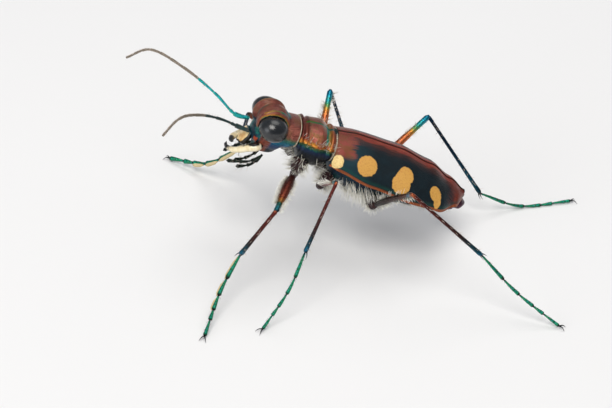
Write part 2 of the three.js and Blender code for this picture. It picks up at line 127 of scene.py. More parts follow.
# Each lamp: its place, its width, its power and its tint.
lamps = {
    "key": ((0.06, 0.20, 0.40), 0.28, 1.45, (1.0, 0.97, 0.93)),
    "fill": ((0.34, 0.26, 0.14), 0.30, 0.6, (0.95, 0.97, 1.0)),
    "rim": ((-0.10, -0.16, 0.42), 0.34, 0.7, (1.0, 0.98, 0.95)),
}
for name, (place, size, power, tint) in lamps.items():
    lamp = bpy.data.lights.new(name, "AREA")
    lamp.shape = "DISK"
    lamp.size = size
    lamp.energy = power
    lamp.color = tint
    holder = bpy.data.objects.new(name, lamp)
    holder.location = place
    holder.rotation_euler = (origin - Vector(place)).to_track_quat("-Z", "Y").to_euler()
    bpy.context.collection.objects.link(holder)


# Wing cases: two hard arched shells of horn that meet along the back, blue-black with four yellow
# spots each, coppery along the seam, at the shoulders and at the tips. Each is hinged to the chest.
def through(keys, at):
    """A value that runs smoothly through (position, value) pairs."""
    places, values = np.array(keys, float).T
    at = np.asarray(at, float)
    i = np.clip(np.searchsorted(places, at, side="right") - 1, 0, len(places) - 2)
    share = np.clip((at - places[i]) / (places[i + 1] - places[i]), 0, 1)
    return values[i] + (values[i + 1] - values[i]) * (1 - np.cos(np.pi * share)) / 2


def bell(value, middle, width):
    """1 where the value is at the middle, dying away over the width to each side."""
    return np.exp(-(((value - middle) / width) ** 2))


def grid_quads(rows, columns, wrap=False, start=0):
    """The faces of a grid of points; wrap joins its last column to its first."""
    i = np.arange(columns if wrap else columns - 1)
    j = (i + 1) % columns
    row = start + (np.arange(rows - 1) * columns)[:, None]
    return np.stack([row + i, row + j, row + columns + j, row + columns + i], -1).reshape(-1, 4)


def grid_normals(grid):
    """Unit normals of a grid of points."""
    along, across = np.gradient(grid, axis=0), np.gradient(grid, axis=1)
    normals = np.cross(along, across)
    return normals / np.maximum(np.linalg.norm(normals, axis=-1, keepdims=True), 1e-9)


def piece(name, points, faces, material, nodes, place, uv=None):
    """A mesh piece at places over the table in millimetres, riding with the beetle."""
    mesh = bpy.data.meshes.new(name)
    mesh.from_pydata((np.asarray(points) * millimetre).tolist(), [], [list(map(int, f)) for f in faces])
    own = mesh.attributes.new("place", "FLOAT_VECTOR", "POINT")
    own.data.foreach_set("vector", np.asarray(place, np.float32).ravel())
    if uv is not None:
        layer = mesh.uv_layers.new(name="OFBake")
        corners = np.zeros(len(mesh.loops), np.int32)
        mesh.loops.foreach_get("vertex_index", corners)
        layer.data.foreach_set("uv", np.asarray(uv, np.float32)[corners].ravel())
    mesh.polygons.foreach_set("use_smooth", [True] * len(mesh.polygons))
    mesh.materials.append(material)
    mesh.update()
    made = bpy.data.objects.new(name, mesh)
    bpy.context.collection.objects.link(made)
    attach(made, "root")
    if nodes:
        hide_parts(*nodes)
    return made


def grain_group():
    """Fine grain of horn: a height for a Bump node, and a slow mottling from 0 to 1."""
    group = bpy.data.node_groups.new("horn_grain", "ShaderNodeTree")
    face = group.interface
    face.new_socket("Vector", in_out="INPUT", socket_type="NodeSocketVector")
    face.new_socket("Pits per mm", in_out="INPUT", socket_type="NodeSocketFloat")
    face.new_socket("Height", in_out="OUTPUT", socket_type="NodeSocketFloat")
    face.new_socket("Mottle", in_out="OUTPUT", socket_type="NodeSocketFloat")
    entry = group.nodes.new("NodeGroupInput")
    leave = group.nodes.new("NodeGroupOutput")
    vector = entry.outputs["Vector"]
    cells = wire(group, "TexVoronoi", {"Vector": vector, "Scale": entry.outputs["Pits per mm"]}, feature="F1")
    dust = wire(group, "TexNoise", {"Vector": vector, "Scale": 22.0, "Detail": 6.0, "Roughness": 0.7})
    pits = wire(group, "Math", {0: cells, 1: 0.8}, operation="MULTIPLY")
    height = wire(group, "Math", {0: dust, 1: pits}, operation="ADD")
    slow = wire(group, "TexNoise", {"Vector": vector, "Scale": 1.6, "Detail": 5.0, "Roughness": 0.65})
    group.links.new(height, leave.inputs["Height"])
    group.links.new(slow, leave.inputs["Mottle"])
    return group


horn_grain = grain_group()


def place_of(tree):
    """The piece's own coordinates in millimetres, and their three parts."""
    vector = wire(tree, "Attribute", out=1, attribute_name="place")
    node = tree.nodes.new("ShaderNodeSeparateXYZ")
    tree.links.new(vector, node.inputs[0])
    return vector, *node.outputs


def fade(tree, value, low, high, start=0.0, end=1.0):
    """A smooth step from start to end as the value goes from low to high."""
    limits = {0: value, 1: low, 2: high, 3: start, 4: end}
    return wire(tree, "MapRange", limits, interpolation_type="SMOOTHSTEP")


def until(tree, value, low, high):
    """A mask that is 1 below low and 0 above high."""
    return fade(tree, value, low, high, 1.0, 0.0)


def math_node(tree, operation, first, second):
    """One operation on two values."""
    return wire(tree, "Math", {0: first, 1: second}, operation=operation)


def product(tree, first, *others):
    """Masks multiplied together."""
    for other in others:
        first = math_node(tree, "MULTIPLY", first, other)
    return first


def stripe(tree, value, rise, fall):
    """A mask that comes in over one pair of values and goes out over another."""
    return product(tree, fade(tree, value, *rise), until(tree, value, *fall))


def ragged(tree, value, noise, amount):
    """A value moved to and fro by a noise, so that the edge of a colour isn't straight."""
    return math_node(tree, "ADD", value, fade(tree, noise, 0.3, 0.7, -amount, amount))


def blend(tree, share, first, second):
    """Two colours mixed by a share; each is a socket or six hexadecimal digits."""
    first, second = (colour(tint) if isinstance(tint, str) else tint for tint in (first, second))
    return wire(tree, "Mix", {0: share, 6: first, 7: second}, out=2, data_type="RGBA")


def ramp(tree, value, stops):
    """Colours along a value, from (position, colour digits) stops."""
    socket = wire(tree, "ValToRGB", {0: value})
    bar = socket.node.color_ramp
    for index, (position, digits) in enumerate(stops):
        stop = bar.elements[index] if index < 2 else bar.elements.new(position)
        stop.position = position
        stop.color = colour(digits)
    return socket


def mottled(tree, mottle, stops, low=0.3, high=0.7):
    """Colours that run with the slow mottling of the horn."""
    return ramp(tree, fade(tree, mottle, low, high), stops)


def paint(tree, shader, tint, **amounts):
    """Joins a colour to a shader, and sets its plain amounts, such as metallic or coat_weight."""
    tree.links.new(tint, shader.inputs["Base Color"])
    for name, amount in amounts.items():
        shader.inputs[name.replace("_", " ").title()].default_value = amount


rough_spread = 0.12


def grained(tree, shader, vector, pits, depth, roughness):
    """Gives a shader its horn grain, and returns the mottling."""
    grain = tree.nodes.new("ShaderNodeGroup")
    grain.node_tree = horn_grain
    tree.links.new(vector, grain.inputs[0])
    grain.inputs[1].default_value = pits
    height, mottle = grain.outputs
    bump = wire(tree, "Bump", {"Height": height, "Strength": 0.75, "Distance": depth * millimetre})
    tree.links.new(bump, shader.inputs["Normal"])
    rough = fade(tree, mottle, 0.3, 0.7, roughness, roughness + rough_spread)
    tree.links.new(rough, shader.inputs["Roughness"])
    return mottle


def spot_group():
    """A soft-edged round mask in the flat coordinates of a wing case."""
    group = bpy.data.node_groups.new("spot", "ShaderNodeTree")
    face = group.interface
    for label in ("Vector", "Centre", "Half size"):
        face.new_socket(label, in_out="INPUT", socket_type="NodeSocketVector")
    face.new_socket("Turn", in_out="INPUT", socket_type="NodeSocketFloat")
    face.new_socket("Mask", in_out="OUTPUT", socket_type="NodeSocketFloat")
    entry = group.nodes.new("NodeGroupInput")
    leave = group.nodes.new("NodeGroupOutput")
    noise = wire(group, "TexNoise", {"Vector": entry.outputs[0], "Scale": 5.0, "Detail": 4.0}, out=1)
    centred = wire(group, "VectorMath", {0: noise, 1: (0.5, 0.5, 0.5)}, operation="SUBTRACT")
    jitter = wire(group, "VectorMath", {0: centred, 3: 0.16}, operation="SCALE")
    moved = wire(group, "VectorMath", {0: entry.outputs[0], 1: jitter}, operation="ADD")
    away = wire(group, "VectorMath", {0: moved, 1: entry.outputs[1]}, operation="SUBTRACT")
    turned = wire(group, "VectorRotate", {"Vector": away, "Angle": entry.outputs[3]}, rotation_type="Z_AXIS")
    flat = wire(group, "VectorMath", {0: turned, 1: (1, 1, 0)}, operation="MULTIPLY")
    scaled = wire(group, "VectorMath", {0: flat, 1: entry.outputs[2]}, operation="DIVIDE")
    reach = wire(group, "VectorMath", {0: scaled}, out=1, operation="LENGTH")
    group.links.new(until(group, reach, 0.96, 1.05), leave.inputs[0])
    return group


case_length = 10.3
# Half width, top line and lower margin, by shares of the case's length from its front end.
case_width = [(0, 2.0), (0.06, 2.3), (0.3, 2.6), (0.6, 2.8), (0.8, 2.4), (0.93, 1.4), (1, 0.35)]
case_top = [(0, 0.9), (0.15, 1.08), (0.45, 1.0), (0.7, 0.55), (0.87, -0.1), (1, -0.65)]
case_margin = [(0, -0.72), (0.3, -1.1), (0.6, -1.28), (0.83, -1.46), (1, -1.15)]
case_curve = 1.75
case_thickness = 0.14
seam_gap = 0.015
shoulder_slant = 0.22
tip_from = 0.972
tip_span = 0.0295
bead_height = 0.05
shoulder_height = 0.10
seam_height = 0.03
seam_depth = 0.05
# Each patch of a spot: its centre back from the front end and out from the seam, its half sizes and
# its turn. Three patches make the bean at mid length, and two make the spot near the tip.
spots = [
    ((0.24, 2.42), (0.38, 0.48), 0.2),
    ((2.30, 2.30), (0.70, 0.70), 0.0),
    ((5.19, 2.08), (0.56, 0.58), 0.0),
    ((4.98, 2.76), (0.67, 0.66), 0.0),
    ((5.0, 2.42), (0.56, 0.62), 0.0),
    ((7.69, 2.26), (0.50, 0.50), 0.0),
    ((7.96, 2.58), (0.29, 0.46), 0.0),
]


def spot_mask(tree, place):
    """Where a wing case is yellow."""
    spot = spot_group()
    mask = 0.0
    for centre, half, turn in spots:
        node = tree.nodes.new("ShaderNodeGroup")
        node.node_tree = spot
        tree.links.new(place, node.inputs["Vector"])
        node.inputs["Centre"].default_value = (*centre, 0)
        node.inputs["Half size"].default_value = (*half, 1)
        node.inputs["Turn"].default_value = turn
        mask = math_node(tree, "MAXIMUM", mask, node.outputs["Mask"])
    return mask


def wing_case_material():
    """Blue-black horn with coppery edges and yellow spots; its place is back, out and from the rim."""
    material, tree, shader = new_material("wing_case_horn")
    place, back, out, edge = place_of(tree)
    mottle = grained(tree, shader, place, 26.0, 0.03, 0.32)
    drawn_out = wire(tree, "VectorMath", {0: place, 1: (0.7, 5.0, 0.0)}, operation="MULTIPLY")
    streak = wire(tree, "TexNoise", {"Vector": drawn_out, "Scale": 1.6, "Detail": 5.0})
    ragged_out = ragged(tree, out, streak, 0.16)
    ragged_back = ragged(tree, back, streak, 0.25)
    base = blend(tree, fade(tree, mottle, 0.4, 0.62), "070d14", "0b1a22")
    teal_front = fade(tree, back, 0.5, 3.2, 0.6, 0.1)
    base = blend(tree, teal_front, base, "17434d")
    halo = fade(tree, ragged_out, 0.35, 1.15, 0.62, 0.0)
    base = blend(tree, halo, base, "6d3526")
    copper = blend(tree, fade(tree, streak, 0.35, 0.65), "903c32", "a6503e")
    seam_band = until(tree, ragged_out, 0.36, 0.56)
    base = blend(tree, seam_band, base, copper)
    shoulder = product(tree, until(tree, ragged_back, 0.95, 1.45), until(tree, out, 1.9, 2.3))
    base = blend(tree, shoulder, base, blend(tree, fade(tree, mottle, 0.4, 0.6), "8a4038", "7a4a30"))
    tip = fade(tree, ragged_back, 8.7, 9.6)
    base = blend(tree, tip, base, "7c3426")
    green_edge = product(tree, stripe(tree, edge, (0.16, 0.24), (0.3, 0.5)), 0.45)
    base = blend(tree, green_edge, base, "124a40")
    copper_edge = until(tree, edge, 0.14, 0.2)
    base = blend(tree, copper_edge, base, "94502e")
    dark_seam = until(tree, out, 0.03, 0.06)
    base = blend(tree, dark_seam, base, "120b0a")
    speckle = wire(tree, "TexNoise", {"Vector": place, "Scale": 8.0, "Detail": 5.0, "Roughness": 0.7})
    yellow = blend(tree, fade(tree, back, 0.6, 1.4), "ecd08a", "d29c42")
    yellow = blend(tree, fade(tree, speckle, 0.45, 0.7, 0.0, 0.7), yellow, "b8792c")
    mask = spot_mask(tree, place)
    bare = math_node(tree, "SUBTRACT", 1.0, mask)
    tree.links.new(product(tree, bare, 0.75), shader.inputs["Metallic"])
    paint(tree, shader, blend(tree, mask, base, yellow), coat_weight=0.1, coat_roughness=0.3)
    return material


def wing_case(side, rows=220, columns=96):
    """The outer face of a wing case as a grid, with its normals and its flat coordinates."""
    u = np.linspace(0, 1, rows)[:, None]
    v = np.linspace(0, 1, columns)[None, :] ** 0.9
    width, top, margin = (through(keys, u) for keys in (case_width, case_top, case_margin))
    tip_round = np.sqrt(np.clip(1 - ((u - tip_from) / tip_span) ** 2, 0.0, 1))
    width = width * tip_round ** (u > tip_from)
    turn = v * np.pi / 2
    out = np.sin(turn) ** (2 / case_curve)
    rise = np.clip(np.cos(turn), 0, 1) ** (2 / case_curve)
    x = shoulder_slant * (1 - u) ** 10 * v**3 - case_length * u
    y = side * (seam_gap + np.maximum(0.01, width - seam_gap) * out)
    z = margin + (top - margin) * rise
    grid = np.stack(np.broadcast_arrays(x, y, z), -1)
    steps = np.linalg.norm(np.diff(grid, axis=1), axis=-1)
    arc = np.concatenate([np.zeros((rows, 1)), np.cumsum(steps, axis=1)], axis=1)
    edge = arc[:, -1:] - arc
    back = -grid[..., 0]
    bead = bead_height * bell(edge, 0.09, 0.07)
    shoulder = shoulder_height * bell(back, 0.9, 0.7) * bell(arc, 2.0, 0.5)
    seam = seam_height * bell(arc, 0.09, 0.07) - seam_depth * bell(arc, 0, 0.035)
    normals = grid_normals(grid) * side
    grid = grid + normals * (bead + shoulder + seam)[..., None]
    return grid, normals, np.stack([back, arc, edge], -1)


def shell(outer, inner):
    """A thin closed shell between two grids of points."""
    rows, columns = outer.shape[:2]
    count = rows * columns
    points = np.vstack([outer.reshape(-1, 3), inner.reshape(-1, 3)])
    index = np.arange(count).reshape(rows, columns)
    loop = np.concatenate([index[0, :-1], index[:-1, -1], index[-1, :0:-1], index[:0:-1, 0]])
    after = np.roll(loop, -1)
    rim = np.stack([after, loop, loop + count, after + count], -1)
    quads = np.vstack([grid_quads(rows, columns), grid_quads(rows, columns, start=count)[:, ::-1], rim])
    return points, quads


def faces_out(points, faces):
    """The same faces, turned if they enclose a negative volume."""
    quads = np.array([[*face, face[-1]][:4] for face in faces])
    a, b, c, d = (points[quads[:, k]] for k in range(4))
    volume = np.einsum("ij,ij->", a, np.cross(b, c)) + np.einsum("ij,ij->", a, np.cross(c, d))
    return [tuple(f) if volume > 0 else tuple(f)[::-1] for f in faces]


wing_horn = wing_case_material()
for word, side in (("left", 1), ("right", -1)):
    outer, normals, flat = wing_case(side)
    points, quads = shell(outer, outer - normals * case_thickness)
    faces = faces_out(points, quads)
    place = np.tile(flat.reshape(-1, 3), (2, 1))
    name = word + "_wing_case"
    piece(name + "_horn", stand(points), faces, wing_horn, [name], place)


# Hindbody: the chest that the wing cases cover, a boxy drum of dark blue horn, and the belly behind
# it, six plates that overlap like tiles and end in the tip that shows between the wing cases.
def rings_of(form, rows, sides, ends=0.12):
    """Cross sections of a body length: places along it, half widths, tops and bottoms, with round ends."""
    start, stop = form["length"]
    share = (1 - np.cos(np.pi * np.linspace(0, 1, rows))) / 2
    x = start + (stop - start) * share
    w, top, bottom = (through(form[key], x) for key in ("width", "top", "bottom"))
    middle = bottom + (top - bottom) * form["widest"]
    near_end = np.minimum(np.abs(x - start), np.abs(stop - x))
    swell = np.sqrt(np.clip(1 - np.clip(1 - near_end / ends, 0, 1) ** 2, 0.04, 1))
    turn = ((np.arange(sides) + 0.5) / sides * 2 * np.pi)[None, :]

    def bent(value):
        return np.sign(value) * np.abs(value) ** (2 / form["power"])

    rise = bent(np.sin(turn))
    reach = np.where(rise > 0, (top - middle)[:, None], (middle - bottom)[:, None])
    y = (w * swell)[:, None] * bent(np.cos(turn))
    z = middle[:, None] + rise * reach * swell[:, None]
    return np.stack(np.broadcast_arrays(x[:, None], y, z), -1)


def ring_normals(rings):
    """Unit normals of a closed skin of rings, pointing out."""
    along = np.gradient(rings, axis=0)
    around = np.roll(rings, -1, axis=1) - np.roll(rings, 1, axis=1)
    normals = np.cross(along, around)
    normals /= np.maximum(np.linalg.norm(normals, axis=-1, keepdims=True), 1e-9)
    outwards = np.einsum("ijk,ijk->", normals, rings - rings.mean(axis=1, keepdims=True))
    return normals if outwards > 0 else -normals


def closed_skin(rings):
    """A closed skin over rings of points, with a fan over each end."""
    count, sides = rings.shape[:2]
    points = np.vstack([rings.reshape(-1, 3), rings[0].mean(0), rings[-1].mean(0)])
    i = np.arange(sides)
    j = (i + 1) % sides
    fans = [(count * sides, b, a) for a, b in zip(i, j)]
    fans += [(count * sides + 1, (count - 1) * sides + a, (count - 1) * sides + b) for a, b in zip(i, j)]
    return points, faces_out(points, [tuple(q) for q in grid_quads(count, sides, wrap=True)] + fans)


def body_horn(name, stops, roughness=0.3, metal=0.7):
    """Metallic horn whose colour runs with its slow mottling."""
    material, tree, shader = new_material(name)
    mottle = grained(tree, shader, place_of(tree)[0], 20.0, 0.03, roughness)
    paint(tree, shader, mottled(tree, mottle, stops), metallic=metal)
    return material


chest_form = {
    "length": (-4.5, 0.3),
    "power": 2.3,
    "widest": 0.62,
    "width": [(-4.5, 2.0), (-2.5, 2.1), (-0.6, 1.75), (0.35, 1.05)],
    "top": [(-4.5, 0.3), (-0.6, 0.32), (0.35, 0.25)],
    "bottom": [(-4.5, -2.75), (-2.8, -2.95), (-0.9, -2.5), (0.35, -1.2)],
}
chest_rings = rings_of(chest_form, 120, 120)
plate_seams = [-0.75, -2.9]
seam_slant = 0.12
dent_depth = 0.05
dent_width = 0.05
slanted = chest_rings[..., 0] + seam_slant * chest_rings[..., 2]
dents = dent_depth * sum(bell(slanted, seam, dent_width) for seam in plate_seams)
chest_rings = chest_rings - ring_normals(chest_rings) * dents[..., None]
dark_horn = body_horn("dark_blue_horn", [(0.0, "07131f"), (0.5, "0d2a3c"), (1.0, "12443f")])
points, faces = closed_skin(chest_rings)
piece("chest_horn", stand(points), faces, dark_horn, ["chest"], points)

belly_form = {
    "length": (-10.75, -4.45),
    "power": 2.2,
    "widest": 0.66,
    "width": [(-10.75, 0.42), (-10.2, 0.75), (-9.3, 1.35), (-7.6, 1.95), (-4.45, 2.02)],
    "top": [(-10.75, -1.32), (-10.2, -1.15), (-9.2, -0.55), (-7.6, 0.05), (-4.45, 0.3)],
    "bottom": [(-10.75, -1.75), (-10.2, -1.95), (-8.5, -2.35), (-4.45, -2.75)],
}
belly_plates = 6
plate_step = 0.07
belly_tip = -10.4
belly_side = -0.6
belly_rings = rings_of(belly_form, 200, 110, ends=0.3)
belly_end, belly_front = belly_form["length"]
plate_length = (belly_front - belly_end) / belly_plates
plate_share = (belly_front - belly_rings[..., 0]) / plate_length % 1
plated = (belly_rings[..., 2] < belly_side) * (belly_rings[..., 0] > belly_tip)
step = plate_step * plate_share**2 * plated
belly_rings = belly_rings + ring_normals(belly_rings) * step[..., None]


def belly_material():
    """Dark blue horn that turns plum brown at the tip."""
    material, tree, shader = new_material("belly_horn")
    place, along, _, _ = place_of(tree)
    mottle = grained(tree, shader, place, 18.0, 0.02, 0.3)
    base = mottled(tree, mottle, [(0.0, "0a1524"), (0.6, "123046"), (1.0, "1a4a4a")])
    plum = blend(tree, fade(tree, mottle, 0.4, 0.6), "2c1626", "4a2234")
    tip = until(tree, along, -9.6, -8.9)
    paint(tree, shader, blend(tree, tip, base, plum), metallic=0.6)
    return material


points, faces = closed_skin(belly_rings)
piece("belly_horn", stand(points), faces, belly_material(), ["abdomen"], points)


# The small shield: a flat triangle of dark green horn. It is the rear end of the chest's own back,
# let in between the front ends of the wing cases.
shield_front = 0.32
shield_length = 0.95
shield_half = 0.44
shield_height = 0.985
shield_thickness = 0.3
rows = np.linspace(0, 1, 24)[:, None]
columns = np.linspace(-1, 1, 25)[None, :]
half = shield_half * (1 - rows) ** 0.85 + 0.01
crown = shield_height + 0.03 * (1 - columns**2) - 0.10 * (1 - rows) ** 3
shield_x = shield_front - shield_length * rows
shield_grid = np.stack(np.broadcast_arrays(shield_x, half * columns, crown), -1)
points, quads = shell(shield_grid, shield_grid - [0, 0, shield_thickness])
shield_horn = body_horn("shield_horn", [(0.0, "0b1a18"), (0.6, "123c36"), (1.0, "5a3a24")])
piece("small_shield", stand(points), faces_out(points, quads), shield_horn, [], points)


# Forebody: the squarish shield behind the head, one ring of coppery horn with a furrow near each end,
# a fine line down its middle and a bright rim. It turns on soft skin at both of its ends.
forebody_form = {
    "length": (0.08, 2.78),
    "power": 2.5,
    "widest": 0.55,
    "width": [
        *[(0.1, 1.5), (0.4, 1.62), (0.62, 1.54), (1.3, 1.74)],
        *[(2.2, 1.6), (2.4, 1.46), (2.6, 1.52), (2.75, 1.45)],
    ],
    "top": [
        *[(0.1, 0.9), (0.4, 0.97), (0.62, 0.87), (1.3, 1.12)],
        *[(2.15, 1.06), (2.4, 0.92), (2.6, 1.06), (2.75, 1.0)],
    ],
    "bottom": [(0.1, -1.2), (1.1, -1.85), (2.1, -1.7), (2.75, -0.95)],
}
side_edge = 0.12
groove_below = 0.2
forebody_rings = rings_of(forebody_form, 180, 180, ends=0.1)
ring_x, ring_y, ring_z = np.moveaxis(forebody_rings, -1, 0)
above = ring_z > 0.3
middle_line = 0.05 * bell(ring_y, 0, 0.06) * above
side_ridge = 0.05 * bell(ring_z, side_edge, 0.07)
side_groove = 0.07 * bell(ring_z, side_edge - groove_below, 0.09)
dimple = 0.10 * bell(ring_x, 0.62, 0.12) * bell(np.abs(ring_y), 0.75, 0.35) * above
relief = side_ridge - side_groove - middle_line - dimple
forebody_rings = forebody_rings + ring_normals(forebody_rings) * relief[..., None]


def wrinkles(tree, place, squeeze, scale):
    """Fine folds of horn that run across the given stretch."""
    stretched = wire(tree, "VectorMath", {0: place, 1: squeeze}, operation="MULTIPLY")
    return wire(tree, "TexNoise", {"Vector": stretched, "Scale": scale, "Detail": 4.0, "Distortion": 0.6})


def fold_bump(tree, shader, folds, depth):
    """Presses folds into a shader on top of its grain."""
    grain = shader.inputs["Normal"].links[0].from_socket
    press = {"Height": folds, "Strength": 0.7, "Distance": depth * millimetre, "Normal": grain}
    tree.links.new(wire(tree, "Bump", press), shader.inputs["Normal"])


# The forebody's colours from its rear rim to its front rim, by shares of its length.
band_colours = [
    *[(0.0, "8a4030"), (0.05, "a85e30"), (0.10, "8f7a30"), (0.15, "1a8f7a"), (0.20, "19a08c")],
    *[(0.25, "5a3428"), (0.31, "8c4636"), (0.77, "8c4636"), (0.80, "b08432"), (0.83, "6a6026")],
    *[(0.87, "4a2a1e"), (0.96, "8c4434"), (1.0, "5a2018")],
]
disc_colours = [(0.0, "8c4636"), (0.35, "a0584a"), (0.6, "7d5a34"), (1.0, "9a5240")]
side_colours = [(0.0, "070a0e"), (0.5, "08121f"), (0.8, "0c2444"), (0.92, "0f4a42"), (1.0, "5c6a2a")]


def forebody_material():
    """Wrinkled copper above, with green and gold furrows and rim, and dark blue below the side edge."""
    material, tree, shader = new_material("forebody_horn")
    place, along, out, height = place_of(tree)
    mottle = grained(tree, shader, place, 16.0, 0.02, 0.28)
    folds = wrinkles(tree, place, (3.2, 0.9, 0.9), 3.0)
    fold_bump(tree, shader, folds, 0.10)
    wave = ragged(tree, along, folds, 0.05)
    level = ragged(tree, height, folds, 0.07)
    bands = ramp(tree, fade(tree, wave, 0.08, 2.78), band_colours)
    disc = mottled(tree, mottle, disc_colours, 0.32, 0.68)
    top = blend(tree, stripe(tree, wave, (0.82, 0.95), (2.12, 2.22)), bands, disc)
    beside = wire(tree, "Math", {0: out}, operation="ABSOLUTE")
    line = product(tree, until(tree, beside, 0.06, 0.17), until(tree, wave, 2.3, 2.42))
    top = blend(tree, line, top, blend(tree, fade(tree, along, 0.8, 2.2), "11645a", "3f7a2c"))
    rim = stripe(tree, level, (0.08, 0.16), (0.3, 0.46))
    top = blend(tree, rim, top, blend(tree, fade(tree, mottle, 0.4, 0.6), "b87a2c", "a8522c"))
    below = ramp(tree, fade(tree, level, -1.3, 0.12), side_colours)
    base = blend(tree, fade(tree, level, 0.06, 0.14), below, top)
    paint(tree, shader, base, metallic=0.78, coat_weight=0.2, coat_roughness=0.2)
    return material


points, faces = closed_skin(forebody_rings)
piece("forebody_horn", stand(points), faces, forebody_material(), ["forebody"], points)


# Neck skins: the pale soft skin that the head and the forebody turn on. It is tucked under the rims
# at the two ends of the forebody, and shows there as thin lines.
neck_skin, tree, shader = new_material("neck_skin")
pale = wire(tree, "TexNoise", {"Vector": place_of(tree)[0], "Scale": 9.0, "Detail": 4.0})
paint(tree, shader, ramp(tree, pale, [(0.3, "8a7a66"), (0.7, "c8bca4")]), roughness=0.6)
skin_form = {"power": 2.4, "widest": 0.5}
skin_lengths = {
    "front_neck_skin": {
        "length": (2.72, 2.86),
        "width": [(2.72, 1.46), (2.86, 1.43)],
        "top": [(2.72, 1.0), (2.86, 0.98)],
        "bottom": [(2.72, -0.9), (2.86, -0.85)],
    },
    "rear_neck_skin": {
        "length": (-0.02, 0.14),
        "width": [(-0.02, 1.5), (0.14, 1.5)],
        "top": [(-0.02, 0.88), (0.14, 0.9)],
        "bottom": [(-0.02, -1.1), (0.14, -1.15)],
    },
}
for name, sizes in skin_lengths.items():
    points, faces = closed_skin(rings_of({**skin_form, **sizes}, 40, 90, ends=0.05))
    piece(name, stand(points), faces, neck_skin, [], points)


# Head: one capsule of coppery horn behind a sloping face, with a finely grooved plate over each eye.
# It turns a little to its left on the neck.
neck = np.array([2.9, 0, 0])
turn_head = np.array(Euler((math.radians(1.5), 0, math.radians(5))).to_matrix())


def stand_head(points):
    """Places in the head's own frame, as places over the table, in millimetres."""
    return stand((np.asarray(points) - neck) @ turn_head.T + neck)


head_form = {
    "length": (2.72, 5.95),
    "power": 2.3,
    "widest": 0.5,
    "width": [(2.72, 1.42), (3.2, 1.36), (3.7, 1.26), (4.3, 1.28), (5.0, 1.25), (5.6, 1.0), (5.95, 0.62)],
    "top": [(2.72, 1.0), (3.7, 1.05), (4.5, 1.0), (5.1, 0.62), (5.6, 0.0), (5.95, -0.62)],
    "bottom": [(2.72, -0.8), (3.5, -1.25), (4.1, -1.72), (5.0, -1.68), (5.95, -1.2)],
}
eye_centre = np.array([4.88, 1.42, 0.38])
eye_half = np.array([1.05, 0.94, 0.88])
brow_centre = np.array([4.84, 0.8, 0.46])
brow_half = np.array([1.2, 0.46, 1.14])
crown_centre = np.array([4.62, 0, 0.32])
crown_half = np.array([1.15, 1.05, 1.22])
mouth_centre = np.array([4.6, 0, -1.55])
mouth_half = np.array([0.95, 0.8, 0.5])
mirrored = np.array([1, -1, 1])


def ball(centre, half, rows=48, sides=64):
    """The rings of an egg with its own half sizes, its poles fore and aft."""
    down = np.linspace(0.02, np.pi - 0.02, rows)[:, None]
    turn = np.linspace(0, 2 * np.pi, sides, endpoint=False)[None, :]
    out, over = np.sin(down) * np.cos(turn), np.sin(down) * np.sin(turn)
    return np.stack(np.broadcast_arrays(np.cos(down), out, over), -1) * half + centre


def melted(parts, voxel, smoothing):
    """One skin melted around several closed skins, in millimetres."""
    points, faces, start = [], [], 0
    for part_points, part_faces in parts:
        faces += [tuple(i + start for i in face) for face in part_faces]
        points.append(part_points)
        start += len(part_points)
    mesh = bpy.data.meshes.new("melting")
    mesh.from_pydata(np.vstack(points).tolist(), [], faces)
    holder = bpy.data.objects.new("melting", mesh)
    bpy.context.collection.objects.link(holder)
    remesh = holder.modifiers.new("remesh", "REMESH")
    remesh.mode = "VOXEL"
    remesh.voxel_size = voxel
    smooth = holder.modifiers.new("smooth", "SMOOTH")
    smooth.factor = 0.5
    smooth.iterations = smoothing
    done = bpy.data.meshes.new_from_object(holder.evaluated_get(bpy.context.evaluated_depsgraph_get()))
    co = np.zeros(len(done.vertices) * 3)
    done.vertices.foreach_get("co", co)
    quads = [tuple(face.vertices) for face in done.polygons]
    bpy.data.objects.remove(holder)
    bpy.data.meshes.remove(done)
    return co.reshape(-1, 3), quads


head_rings = [
    rings_of(head_form, 80, 90, ends=0.14),
    ball(mouth_centre, mouth_half),
    ball(brow_centre, brow_half),
    ball(brow_centre * mirrored, brow_half),
    ball(crown_centre, crown_half),
]
head_points, head_faces = melted([closed_skin(rings) for rings in head_rings], voxel=0.045, smoothing=24)


def eye_reach(points):
    """How far points lie outside the nearer eye, in millimetres."""
    beside = np.column_stack([points[:, 0], np.abs(points[:, 1]), points[:, 2]])
    return (np.linalg.norm((beside - eye_centre) / eye_half, axis=1) - 1) * eye_half.mean()


crease_depth = 0.05
from_eye = eye_reach(head_points)
head_points[:, 1] -= np.sign(head_points[:, 1]) * crease_depth * bell(from_eye, 0.02, 0.05)
eye_rim_colours = [(0.0, "0a0806"), (0.2, "1c7a5c"), (0.4, "b07a26"), (0.75, "a05c30"), (1.0, "8e5044")]
plate_rim_colours = [(0.0, "16708c"), (0.3, "1c7a5c"), (0.6, "8a8a2c"), (1.0, "c08a34")]
cheek_colours = [(0.0, "0c1822"), (0.4, "123a6a"), (0.7, "17708e"), (1.0, "3a6a44")]
face_colours = [(0.0, "06121a"), (0.6, "0f3f52"), (1.0, "17756a")]


